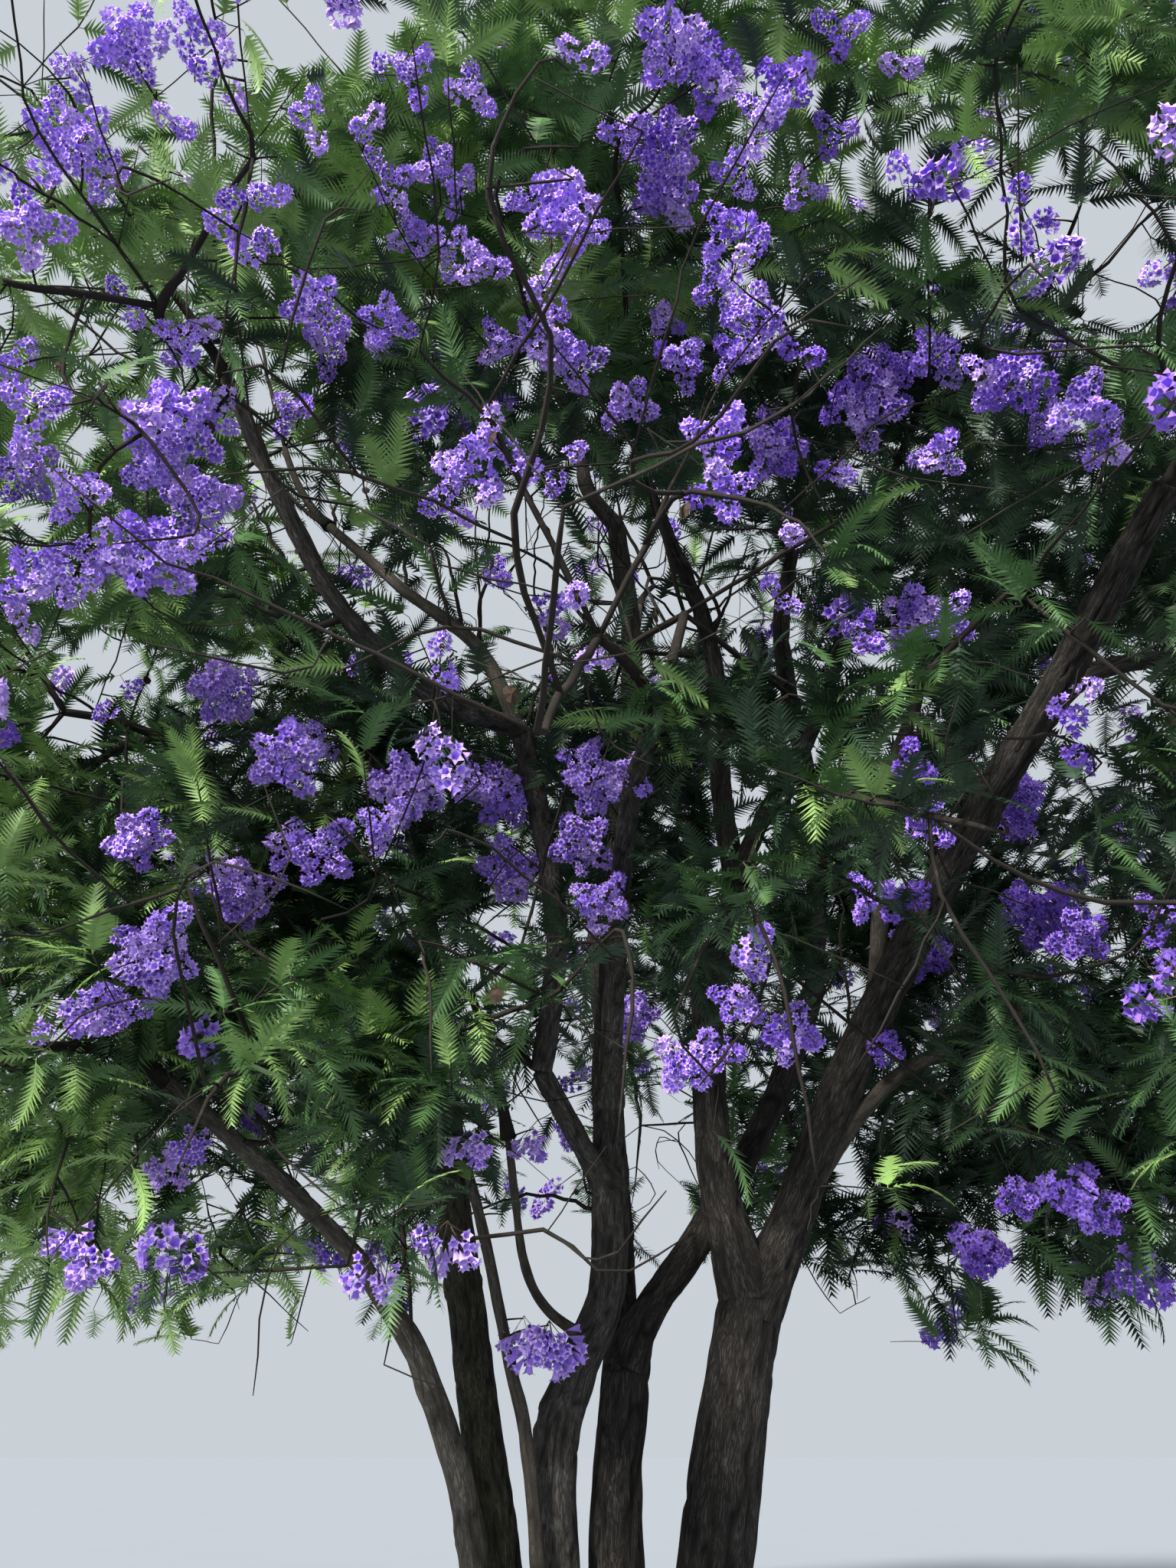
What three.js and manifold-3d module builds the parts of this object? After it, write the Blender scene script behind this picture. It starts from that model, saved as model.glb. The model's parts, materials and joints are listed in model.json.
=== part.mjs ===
// A jacaranda in full bloom: a clump of stems from one root crown, forking into boughs
// that carry an airy, round crown of fern-like leaf sprays and upright and hanging panicles.
// Millimetres, +Z up. The origin is on the ground, under the middle of the clump.
// The tree is seen from -Y, with +X to the right.

import * as THREE from 'three';
import { mergeVertices } from 'three/addons/utils/BufferGeometryUtils.js';
import Module from 'manifold-3d';

const wasm = await Module();
wasm.setup();

// Joints: the clear gap beside a limb that another one leaves, and the gap past a limb's tip.
const GAP = 0.3;
const TIP_GAP = 0.4;

// The ground, the height where the stems leave the root crown, and how far their feet are drawn
// below the ground before the flat cut.
const ROOT_CROWN_HEIGHT = 480;
const BELOW_GROUND = 120;
const GROUND_SIZE = 4000;
const HALVINGS = 30;

// Root crown: a low swollen base under all the stems, in [radius, height] steps, and how much
// wider than itself each stem's foot is at the ground.
const STUMP_CENTRE = [60, 40];
const STUMP_PROFILE = [[0, 0], [640, 0], [520, 70], [440, 170], [380, 290], [0, 330]];
const STUMP_SIDES = 12;
const FLARE = 0.75;
const FLARE_HEIGHT = 320;
const FOOT_RINGS = 3;

// Limbs: facets round a limb and the length of one facet along it.
const LIMB_SIDES = 8;
const SLIM_LIMB_SIDES = 6;
const SLIM_LIMB = 50;
const LIMB_STEP = 700;
const FEWEST_RINGS = 2;

// The crown's outline: an ellipsoid, and the height of its lowest hanging tips.
const CROWN_CENTRE = new THREE.Vector3(0, -150, 5850);
const CROWN_RADII = new THREE.Vector3(5750, 5450, 4600);
const LOWEST_TIP = 1550;

// Twigs: how many sprays a mass has, how each spray's place is chosen, how far the stem of a mass
// goes in, what a twig measures, and how clear it keeps of other masses and of limbs.
const SEED = 22801;
const SPRAYS_PER_MASS = 12;
const TRIES_PER_SPRAY = 14;
const STEM_SHARE = 0.55;
const STEM_BEND = 0.45;
const STEM_KNOTS = 3;
const STEM_RADIUS = [30, 22];
const STEM_SIDES = 4;
const PATH_WEIGHT = 0.3;
const TWIG_TIP_RADIUS = 8;
const TWIG_GROWTH = 0.42;
const TWIG_SIDES = 3;
const SHARPEST_TURN = 0.3;
const SUNK = 0.25;
const TWIG_CORE = 0.44;
const STEM_CORE = 0.7;
const CELL_MARGIN = 12;
const LIMB_MARGIN = 25;
const CLEARANCE_STEPS = 12;

// Leaf sprays and flower panicles: [length, width, thickness], how far each hangs down, and how
// one that doesn't fit in its mass's space is turned inwards.
const LEAF = { size: [920, 400, 40], droop: 0.35 };
const PANICLE = { size: [600, 310, 280], droop: 0.05 };
const ROOT_RADIUS = 4.5;
const WIDEST = 0.45;
const INWARD_TURNS = 4;
const INWARD_TURN = 0.6;

// The limbs, each with its radius at the foot and at the tip. A stem rises from the ground,
// and every other limb leaves the limb that it is on, some share of the way along it.
const LIMBS = [
  {
    name: 'stem_left', foot: [-430, -110, 0], radius: [82, 56],
    via: [[-520, -100, 900], [-640, -110, 1450], [-870, -200, 1990]], tip: [-1040, -300, 2250],
  },
  {
    name: 'stem_ridged', foot: [-330, 170, 0], radius: [125, 84],
    via: [[-420, 130, 900], [-580, 100, 1780], [-750, 100, 2710]], tip: [-900, 0, 3830],
  },
  {
    name: 'stem_slim', foot: [-130, -270, 0], radius: [40, 24],
    via: [[-280, -220, 1450], [-400, -300, 1990], [-560, -560, 2640]], tip: [-700, -1250, 3150],
  },
  {
    name: 'stem_middle', foot: [-80, 20, 0], radius: [118, 92],
    via: [[-170, 0, 1440], [-70, 0, 1930], [100, 0, 2340], [122, 0, 2950]], tip: [115, 0, 3600],
  },
  {
    name: 'stem_rough', foot: [190, 260, 0], radius: [150, 122],
    via: [[145, 190, 1200]], tip: [200, 170, 1960],
  },
  {
    name: 'stem_right', foot: [470, 60, 0], radius: [195, 170],
    via: [[640, 20, 1150]], tip: [890, 0, 2300],
  },
  {
    name: 'shoot_slim', on: 'stem_middle', at: 0.48, radius: [30, 20],
    via: [[-310, -200, 2380]], tip: [-430, -520, 3060],
  },
  {
    name: 'bough_lower_left', on: 'stem_left', at: 1, radius: [54, 40],
    via: [[-1230, -450, 2490], [-1590, -780, 2810]], tip: [-2060, -1260, 3170],
  },
  {
    name: 'bough_left', on: 'stem_ridged', at: 1, radius: [62, 36],
    via: [[-1130, -300, 3950], [-1500, -700, 4300]], tip: [-2150, -1150, 4950],
  },
  {
    name: 'bough_left_upright', on: 'stem_ridged', at: 1, radius: [60, 34],
    via: [[-1000, 60, 4350], [-1250, 350, 5400]], tip: [-1550, 520, 6350],
  },
  {
    name: 'bough_back_left', on: 'stem_ridged', at: 0.66, radius: [70, 38],
    via: [[-1050, 900, 3500]], tip: [-1750, 1950, 4500],
  },
  {
    name: 'leader', on: 'stem_middle', at: 1, radius: [86, 62],
    via: [[200, -190, 4900], [300, -400, 6300]], tip: [200, -600, 7270],
  },
  {
    name: 'leader_top', on: 'leader', at: 1, radius: [58, 34],
    via: [[-10, -770, 7480], [-80, -900, 7850]], tip: [-330, -1100, 8420],
  },
  {
    name: 'leader_back', on: 'leader', at: 0.62, radius: [50, 32],
    via: [[330, 150, 6700]], tip: [420, 750, 7600],
  },
  {
    name: 'bough_knuckle', on: 'stem_middle', at: 0.78, radius: [64, 52],
    via: [[-80, -290, 3150]], tip: [-260, -500, 3430],
  },
  {
    name: 'bough_middle_left', on: 'bough_knuckle', at: 1, radius: [60, 60],
    via: [[-200, -610, 3850], [-190, -760, 4350]], tip: [-390, -1100, 5280],
  },
  {
    name: 'bough_front_left', on: 'bough_middle_left', at: 1, radius: [58, 38],
    via: [[-840, -1680, 5150], [-1240, -2100, 5350], [-1560, -2330, 5850]], tip: [-1950, -2500, 6650],
  },
  {
    name: 'bough_upper_left', on: 'bough_middle_left', at: 0.97, radius: [46, 30],
    via: [[-640, -1220, 5760], [-1150, -1200, 6250]], tip: [-1680, -1120, 6820],
  },
  {
    name: 'bough_front', on: 'stem_middle', at: 0.93, radius: [62, 40],
    via: [[160, -900, 4020], [200, -1900, 4350]], tip: [280, -2650, 4330],
  },
  {
    name: 'bough_crossing', on: 'stem_rough', at: 1, radius: [98, 70],
    via: [[330, 230, 2260], [650, 370, 2680], [1110, 420, 3380]], tip: [1490, 380, 4250],
  },
  {
    name: 'bough_inner_right', on: 'bough_crossing', at: 1, radius: [66, 46],
    via: [[1530, 80, 5250], [1330, -380, 6400]], tip: [1440, -620, 7150],
  },
  {
    name: 'bough_back', on: 'stem_rough', at: 0.96, radius: [84, 40],
    via: [[190, 800, 3050], [90, 1750, 4500]], tip: [20, 2250, 5600],
  },
  {
    name: 'bough_upright_right', on: 'stem_right', at: 1, radius: [112, 88],
    via: [[750, -10, 2850], [710, -60, 3300]], tip: [720, -110, 3980],
  },
  {
    name: 'bough_middle_right', on: 'bough_upright_right', at: 1, radius: [80, 40],
    via: [[900, -230, 4600], [850, -420, 5250], [800, -720, 6150]], tip: [480, -1100, 6900],
  },
  {
    name: 'bough_front_right', on: 'bough_middle_right', at: 0.27, radius: [56, 34],
    via: [[1120, -500, 5080], [1400, -900, 5500]], tip: [1650, -1550, 6250],
  },
  {
    name: 'bough_right', on: 'stem_right', at: 0.97, radius: [132, 66],
    via: [[1120, -20, 2690], [1540, -560, 3600], [1950, -1330, 4350], [2290, -2230, 4870]],
    tip: [2560, -3080, 5330],
  },
  {
    name: 'bough_low_right', on: 'bough_right', at: 0.2, radius: [50, 36],
    via: [[1700, -500, 3390]], tip: [2500, -950, 3600],
  },
  {
    name: 'bough_outer_right', on: 'bough_right', at: 0.76, radius: [58, 38],
    via: [[2600, -2000, 5080]], tip: [3150, -1750, 5350],
  },
  {
    name: 'bough_light_right', on: 'bough_right', at: 0.43, radius: [50, 32],
    via: [[1720, -1020, 4850], [1920, -1250, 5450]], tip: [2150, -1150, 6350],
  },
  {
    name: 'bough_back_right', on: 'stem_right', at: 0.95, radius: [96, 40],
    via: [[1350, 650, 3050]], tip: [2150, 1800, 4450],
  },
];

// The masses of foliage: the limb whose tip bears each, its middle, and the share of its sprays
// that are in flower. Each reaches as far round its middle as MASS_REACH and its neighbours let it.
const MASSES = [
  { name: 'foliage_low_left_front', on: 'bough_lower_left', at: [-3050, -2500, 3050], bloom: 0.5 },
  { name: 'foliage_low_left', on: 'bough_lower_left', at: [-3700, -450, 3500], bloom: 0.4, seed: 51 },
  { name: 'foliage_left_front', on: 'bough_left', at: [-3350, -2050, 5150], bloom: 0.6 },
  { name: 'foliage_left', on: 'bough_left', at: [-4300, 250, 5350], bloom: 0.6 },
  { name: 'foliage_upper_left_back', on: 'bough_left_upright', at: [-2550, 1350, 7650], bloom: 0.6 },
  { name: 'foliage_back_left', on: 'bough_back_left', at: [-2850, 3050, 5450], bloom: 0.5 },
  { name: 'foliage_low_back_left', on: 'bough_back_left', at: [-2700, 2350, 3250], bloom: 0.4 },
  { name: 'foliage_low_front_left', on: 'stem_slim', at: [-900, -3050, 2900], bloom: 0.5 },
  { name: 'foliage_inner_left', on: 'shoot_slim', at: [-750, -1650, 4150], bloom: 0.3 },
  { name: 'foliage_top', on: 'leader_top', at: [-600, -1350, 9200], bloom: 0.6, seed: 64 },
  { name: 'foliage_top_back', on: 'leader_back', at: [700, 1500, 8600], bloom: 0.6 },
  { name: 'foliage_upper_left_front', on: 'bough_front_left', at: [-2500, -3050, 7350], bloom: 0.75 },
  { name: 'foliage_front_left', on: 'bough_front_left', at: [-1900, -3950, 5500], bloom: 0.65 },
  { name: 'foliage_upper_left', on: 'bough_upper_left', at: [-2350, -1150, 8050], bloom: 0.7, seed: 144 },
  { name: 'foliage_front', on: 'bough_front', at: [-150, -3850, 4350], bloom: 0.65 },
  { name: 'foliage_low_front_right', on: 'bough_front', at: [1250, -3450, 3400], bloom: 0.6 },
  { name: 'foliage_upper_right', on: 'bough_inner_right', at: [1650, -650, 8550], bloom: 0.6, seed: 52 },
  { name: 'foliage_back', on: 'bough_back', at: [-400, 3300, 6900], bloom: 0.6 },
  { name: 'foliage_low_back', on: 'bough_back', at: [500, 3950, 4450], bloom: 0.5 },
  { name: 'foliage_upper_front', on: 'bough_middle_right', at: [50, -2900, 7400], bloom: 0.75 },
  { name: 'foliage_upper_right_front', on: 'bough_front_right', at: [2150, -2500, 7350], bloom: 0.6 },
  { name: 'foliage_right_front', on: 'bough_right', at: [2350, -3900, 5350], bloom: 0.6 },
  { name: 'foliage_low_right', on: 'bough_low_right', at: [3350, -1650, 3350], bloom: 0.5 },
  { name: 'foliage_right', on: 'bough_outer_right', at: [4450, -1300, 5250], bloom: 0.6 },
  { name: 'foliage_upper_right_side', on: 'bough_light_right', at: [3400, -300, 7250], bloom: 0.6 },
  { name: 'foliage_back_right', on: 'bough_back_right', at: [3350, 2450, 5600], bloom: 0.5 },
  { name: 'foliage_low_back_right', on: 'bough_back_right', at: [2900, 2000, 3350], bloom: 0.4 },
  { name: 'foliage_middle_front', on: 'bough_front', at: [600, -2400, 5650], bloom: 0.6 },
];
const MASS_REACH = new THREE.Vector3(1650, 1650, 1400);

// Colours of thick and slim limbs, and of masses with more flowers or more leaves.
const BARK = 0x4d453c;
const YOUNG_BARK = 0x5c554a;
const BLOSSOM = 0x8f7bd0;
const FOLIAGE = 0x4f7030;
const MOSTLY_BLOSSOM = 0.55;

function barkMaterial(limbRadius) {
  const color = limbRadius > SLIM_LIMB ? BARK : YOUNG_BARK;
  return new THREE.MeshStandardMaterial({ color, roughness: 0.95, metalness: 0 });
}

function foliageMaterial(bloom) {
  const color = bloom > MOSTLY_BLOSSOM ? BLOSSOM : FOLIAGE;
  return new THREE.MeshStandardMaterial({ color, roughness: 0.8, metalness: 0 });
}

// A repeatable run of numbers from 0 to 1, so that the tree grows the same each time.
function seededNumbers(seed) {
  let state = seed;
  return () => {
    state = (state * 16807) % 2147483647;
    return state / 2147483647;
  };
}

function vector([x, y, z]) {
  return new THREE.Vector3(x, y, z);
}

function solidOf(geometry) {
  geometry.deleteAttribute('normal');
  geometry.deleteAttribute('uv');
  const closed = mergeVertices(geometry, 1e-3);
  const vertProperties = new Float32Array(closed.attributes.position.array);
  const triVerts = new Uint32Array(closed.index.array);
  return new wasm.Manifold(new wasm.Mesh({ numProp: 3, vertProperties, triVerts }));
}

// The largest body of a solid: loose scraps are dropped and sealed hollows filled.
function mainBody(solid) {
  const bodies = solid.decompose();
  return bodies.reduce((best, body) => (body.volume() > best.volume() ? body : best));
}

function union(solids) {
  return wasm.Manifold.union(solids);
}

function meshOf(name, solid, material) {
  const { vertProperties, triVerts } = solid.getMesh();
  const geometry = new THREE.BufferGeometry();
  geometry.setAttribute('position', new THREE.BufferAttribute(new Float32Array(vertProperties), 3));
  geometry.setIndex(new THREE.BufferAttribute(new Uint32Array(triVerts), 1));
  geometry.computeVertexNormals();
  const mesh = new THREE.Mesh(geometry, material);
  mesh.name = name;
  return mesh;
}

// A closed bar through a run of rings: a cylinder whose own rings are moved onto them.
// Each ring has its middle, two directions across it and its half-width along each.
// A pointed bar ends in the last ring's middle.
function loft(rings, sides, pointed = false) {
  const last = rings.length - 1;
  const bar = new THREE.CylinderGeometry(pointed ? 0 : 1, 1, 1, sides, last);
  const place = bar.attributes.position;
  for (let i = 0; i < place.count; i += 1) {
    const index = Math.round((place.getY(i) + 0.5) * last);
    const { point, across, beside, wide, thick } = rings[index];
    const spread = pointed ? 1 - index / last : 1;
    const spot = point.clone();
    if (spread > 0) {
      spot.addScaledVector(across, (place.getX(i) / spread) * wide);
      spot.addScaledVector(beside, (place.getZ(i) / spread) * thick);
    }
    place.setXYZ(i, spot.x, spot.y, spot.z);
  }
  return solidOf(bar);
}

// A tapering round bar along a curve. grow thickens it all round and at both ends,
// to cut a clear seat for it in a neighbour.
function taperingBar(curve, radiusAt, { from = 0, sides, rings, grow = 0 }) {
  const frames = ringFrames(curve, from, rings).map((frame) => {
    const radius = radiusAt(frame.share) + grow;
    return { ...frame, wide: radius, thick: radius };
  });
  frames[0].point.addScaledVector(frames[0].ahead, -grow);
  frames[rings].point.addScaledVector(frames[rings].ahead, grow);
  return loft(frames, sides);
}

// The rings' middles and directions, each turned as little as can be from the last.
function ringFrames(curve, from, rings) {
  const frames = [];
  let across = new THREE.Vector3(1, 0, 0);
  for (let ring = 0; ring <= rings; ring += 1) {
    const share = from + ((1 - from) * ring) / rings;
    const ahead = curve.getTangent(share);
    across = across.clone().addScaledVector(ahead, -across.dot(ahead)).normalize();
    const beside = across.clone().cross(ahead);
    frames.push({ share, point: curve.getPoint(share), across, beside, ahead });
  }
  return frames;
}

// Limbs by name, each with its curve and its radius along it.
const limbs = new Map();
LIMBS.forEach(layOutLimb);

function curveThrough(points) {
  return new THREE.CatmullRomCurve3(points, false, 'catmullrom', 0.5);
}

function layOutLimb(limb) {
  const parent = limb.on ? limbs.get(limb.on) : null;
  const foot = parent ? parent.curve.getPoint(limb.at) : vector(limb.foot);
  const curve = curveThrough([foot, ...limb.via.map(vector), vector(limb.tip)]);
  const [atFoot, atTip] = limb.radius;
  const radiusAt = (share) => atFoot + (atTip - atFoot) * share;
  const sides = atFoot > SLIM_LIMB ? LIMB_SIDES : SLIM_LIMB_SIDES;
  const rings = Math.max(FEWEST_RINGS, Math.round(curve.getLength() / LIMB_STEP));
  limbs.set(limb.name, { ...limb, curve, radiusAt, sides, rings });
}

// The share of a stem's curve at a height above the ground.
function shareAtHeight(curve, height) {
  let low = 0;
  let high = 1;
  for (let step = 0; step < HALVINGS; step += 1) {
    const middle = (low + high) / 2;
    if (curve.getPoint(middle).z < height) low = middle;
    else high = middle;
  }
  return high;
}

// A stem's foot widens towards the ground, and every foot and the stump are one body.
function rootCrown(stems) {
  const profile = STUMP_PROFILE.map(([radius, height]) => new THREE.Vector2(radius, height));
  const stump = new THREE.LatheGeometry(profile, STUMP_SIDES);
  stump.rotateX(Math.PI / 2);
  stump.translate(STUMP_CENTRE[0], STUMP_CENTRE[1], 0);
  const feet = stems.map(stemFoot);
  const ground = new THREE.BoxGeometry(GROUND_SIZE, GROUND_SIZE, GROUND_SIZE);
  ground.translate(0, 0, -GROUND_SIZE / 2);
  return mainBody(union([solidOf(stump), ...feet]).subtract(solidOf(ground)));
}

function stemFoot(stem) {
  const top = shareAtHeight(stem.curve, ROOT_CROWN_HEIGHT);
  const start = stem.curve.getPoint(0);
  const points = [start.clone().setZ(-BELOW_GROUND)];
  for (let step = 1; step <= FOOT_RINGS; step += 1) {
    points.push(stem.curve.getPoint((top * step) / FOOT_RINGS));
  }
  const curve = curveThrough(points);
  const widen = (share) => {
    const height = Math.max(curve.getPoint(share).z, 0);
    return 1 + FLARE * Math.max(0, 1 - height / FLARE_HEIGHT) ** 2;
  };
  const radiusAt = (share) => stem.radiusAt(share * top) * widen(share);
  return taperingBar(curve, radiusAt, { sides: stem.sides, rings: FOOT_RINGS });
}

// Where a limb's own solid starts on its curve: above the root crown, just past its bearer's tip,
// or inside the side of its bearer, which then cuts it.
function startShare(limb) {
  const gapShare = TIP_GAP / limb.curve.getLength();
  if (!limb.on) return shareAtHeight(limb.curve, ROOT_CROWN_HEIGHT) + gapShare;
  return limb.at === 1 ? gapShare : 0;
}

// A limb, cut clear of its bearer and of each limb made before it that it would touch.
const inflatedLimbs = [];

function limbSolid(limb) {
  const from = startShare(limb);
  let solid = taperingBar(limb.curve, limb.radiusAt, { ...limb, from });
  for (const other of inflatedLimbs) solid = solid.subtract(other);
  inflatedLimbs.push(taperingBar(limb.curve, limb.radiusAt, { ...limb, from, grow: GAP }));
  return mainBody(solid);
}

// The stem of a mass leaves its bough's tip the way that the bough points, then turns to the middle.
function layOutStem(mass, index) {
  const bough = limbs.get(mass.on);
  const tip = bough.curve.getPoint(1);
  const middle = vector(mass.at);
  const end = tip.clone().lerp(middle, STEM_SHARE);
  const bend = tip.clone().addScaledVector(bough.curve.getTangent(1), tip.distanceTo(end) * STEM_BEND);
  const curve = new THREE.QuadraticBezierCurve3(tip, bend, end);
  const radiusAt = (share) => STEM_RADIUS[0] + (STEM_RADIUS[1] - STEM_RADIUS[0]) * share;
  return { seed: index + 1, ...mass, middle, curve, radiusAt };
}

const masses = MASSES.map(layOutStem);

// How far a point lies inside a mass's own space: the points nearer to its middle than to any other's.
function depthInCell(point, mass) {
  let depth = Infinity;
  for (const other of masses) {
    if (other === mass) continue;
    const apart = other.middle.distanceTo(mass.middle);
    const nearer = point.distanceToSquared(other.middle) - point.distanceToSquared(mass.middle);
    depth = Math.min(depth, nearer / (2 * apart));
  }
  return depth;
}

function insideCrown(point) {
  const scaled = point.clone().sub(CROWN_CENTRE).divide(CROWN_RADII);
  return scaled.length() <= 1 && point.z >= LOWEST_TIP;
}

// What twigs keep clear of: every limb, and the stem of every other mass, as short straight lengths.
function lengthsOf(owner, { curve, radiusAt }) {
  const lengths = [];
  for (let step = 0; step < CLEARANCE_STEPS; step += 1) {
    const from = step / CLEARANCE_STEPS;
    const line = new THREE.Line3(curve.getPoint(from), curve.getPoint((step + 1) / CLEARANCE_STEPS));
    lengths.push({ owner, line, radius: radiusAt(from) });
  }
  return lengths;
}

const obstacles = [
  ...[...limbs.values()].flatMap((limb) => lengthsOf(limb, limb)),
  ...masses.flatMap((mass) => lengthsOf(mass, mass)),
];

function isClear(point, mass, radius) {
  const nearest = new THREE.Vector3();
  return obstacles.every((length) => {
    if (length.owner === mass) return true;
    length.line.closestPointToPoint(point, true, nearest);
    return nearest.distanceTo(point) > length.radius + radius + LIMB_MARGIN;
  });
}

function isFree(point, mass, radius) {
  return depthInCell(point, mass) > CELL_MARGIN + radius && isClear(point, mass, radius);
}

// Places for the sprays of a mass: each is the one of several tries that lies furthest from the rest.
function spraySites(mass, numbers) {
  const sites = [];
  for (let spray = 0; spray < SPRAYS_PER_MASS; spray += 1) {
    let best = null;
    let bestRoom = -1;
    for (let attempt = 0; attempt < TRIES_PER_SPRAY; attempt += 1) {
      const offset = new THREE.Vector3(numbers() * 2 - 1, numbers() * 2 - 1, numbers() * 2 - 1);
      const site = offset.clone().multiply(MASS_REACH).add(mass.middle);
      if (offset.length() > 1 || !insideCrown(site) || !isFree(site, mass, TWIG_TIP_RADIUS)) continue;
      const room = Math.min(MASS_REACH.x, ...sites.map((other) => other.distanceTo(site)));
      if (room > bestRoom) {
        best = site;
        bestRoom = room;
      }
    }
    if (best) sites.push(best);
  }
  return sites;
}

// The branching rule: the site that is nearest to the twigs so far, with some weight on the way
// back to the bough, is reached next by a straight twig, and becomes a knot that others leave.
function growTwigs(mass, sites) {
  const knots = [];
  for (let step = 1; step <= STEM_KNOTS; step += 1) {
    const point = mass.curve.getPoint(step / STEM_KNOTS);
    knots.push({ point, path: 0, parent: null, load: 1 });
  }
  const waiting = [...sites];
  while (waiting.length > 0) {
    let choice = null;
    for (const site of waiting) {
      for (const knot of knots) {
        const reach = knot.point.distanceTo(site);
        const cost = reach + PATH_WEIGHT * knot.path;
        if (!choice || cost < choice.cost) choice = { site, knot, reach, cost };
      }
    }
    waiting.splice(waiting.indexOf(choice.site), 1);
    if (!twigIsFree(choice.knot.point, choice.site, mass)) continue;
    const { site, knot, reach } = choice;
    knots.push({ point: site, path: knot.path + reach, parent: knot, load: 1 });
  }
  for (const knot of [...knots].reverse()) {
    if (knot.parent) knot.parent.load += knot.load;
  }
  return knots;
}

function twigIsFree(from, to, mass) {
  for (let step = 1; step <= CLEARANCE_STEPS; step += 1) {
    if (!isFree(from.clone().lerp(to, step / CLEARANCE_STEPS), mass, TWIG_TIP_RADIUS)) return false;
  }
  return true;
}

function twigRadius(load) {
  return TWIG_TIP_RADIUS * load ** TWIG_GROWTH;
}

function direction(from, to) {
  return to.clone().sub(from).normalize();
}

// A strand runs from the knot that it leaves along its straightest followers to a tip.
// The rest of each knot's followers start strands of their own.
function strandsOf(knots) {
  const strands = [];
  const straightness = (before, knot, after) => {
    return direction(knot.point, after.point).dot(direction(before.point, knot.point));
  };
  const extend = (strand) => {
    const [before, knot] = strand.slice(-2);
    const followers = knots.filter((other) => other.parent === knot);
    followers.sort((one, two) => straightness(before, knot, two) - straightness(before, knot, one));
    const goesOn = followers.length > 0 && straightness(before, knot, followers[0]) > SHARPEST_TURN;
    const next = goesOn ? followers.shift() : null;
    followers.forEach((follower) => extend([knot, follower]));
    if (next) extend([...strand, next]);
    else strands.push(strand);
  };
  const first = knots.filter((knot) => knot.parent && !knot.parent.parent);
  first.forEach((knot) => extend([knot.parent, knot]));
  return strands;
}

// A strand's foot is slim enough to start wholly inside the twig or stem that it leaves.
function footRadius(knot, first) {
  const room = knot.parent ? twigRadius(knot.load) * TWIG_CORE : STEM_RADIUS[1] * STEM_CORE;
  return Math.min(twigRadius(first.load), room);
}

// The rings of a strand, one at each knot, turned as little as can be from the last.
function strandRings(strand) {
  const rings = [];
  let across = new THREE.Vector3(0, 0, 1);
  strand.forEach((knot, index) => {
    const before = strand[Math.max(index - 1, 0)].point;
    const after = strand[Math.min(index + 1, strand.length - 1)].point;
    const ahead = direction(before, after);
    across = across.clone().addScaledVector(ahead, -across.dot(ahead)).normalize();
    const beside = across.clone().cross(ahead);
    const radius = index === 0 ? footRadius(knot, strand[1]) : twigRadius(knot.load);
    rings.push({ point: knot.point.clone(), across, beside, wide: radius, thick: radius, ahead });
  });
  rings[0].point.addScaledVector(rings[0].ahead, -rings[0].wide * SUNK);
  return rings;
}

// A spray of leaves is wide and thin, and a panicle nearly round. Both start from a twig's end.
function sprayRings(root, ahead, [length, width, thickness]) {
  const beside = new THREE.Vector3(0, 0, 1).cross(ahead).normalize();
  const across = ahead.clone().cross(beside);
  const ring = (share) => ({ point: root.clone().addScaledVector(ahead, length * share), across, beside });
  return [
    { ...ring(WIDEST), wide: thickness / 2, thick: width / 2 },
    { ...ring(1), wide: 0, thick: 0 },
  ];
}

// The way that a spray points: on from its twig, a little aside and down, and turned
// inwards until it fits in the mass's space.
function sprayDirection(mass, knot, kind, numbers) {
  const inwards = direction(knot.point, mass.middle);
  const aside = new THREE.Vector3(numbers() - 0.5, numbers() - 0.5, -kind.droop);
  const ahead = direction(knot.parent.point, knot.point).add(aside).normalize();
  for (let turn = 0; turn < INWARD_TURNS; turn += 1) {
    const way = ahead.clone().addScaledVector(inwards, turn * INWARD_TURN).normalize();
    const rings = sprayRings(knot.point, way, kind.size);
    const fits = rings.every(({ point, thick }) => isFree(point, mass, thick));
    if (fits) return way;
  }
  return null;
}

// A strand with the spray at its tip, and the sprays at its other knots, each on a slim foot.
function strandSolids(mass, strand, numbers) {
  const rings = strandRings(strand);
  const tip = strand[strand.length - 1];
  const solids = [];
  for (const knot of strand.slice(1)) {
    const kind = numbers() < mass.bloom ? PANICLE : LEAF;
    const way = sprayDirection(mass, knot, kind, numbers);
    if (!way) continue;
    const spray = sprayRings(knot.point, way, kind.size);
    const foot = { ...spray[0], point: knot.point, wide: ROOT_RADIUS, thick: ROOT_RADIUS };
    if (knot === tip) rings.push(...spray);
    else solids.push(loft([foot, ...spray], TWIG_SIDES, true));
  }
  const pointed = rings.length > strand.length;
  return [loft(rings, TWIG_SIDES, pointed), ...solids];
}

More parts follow.
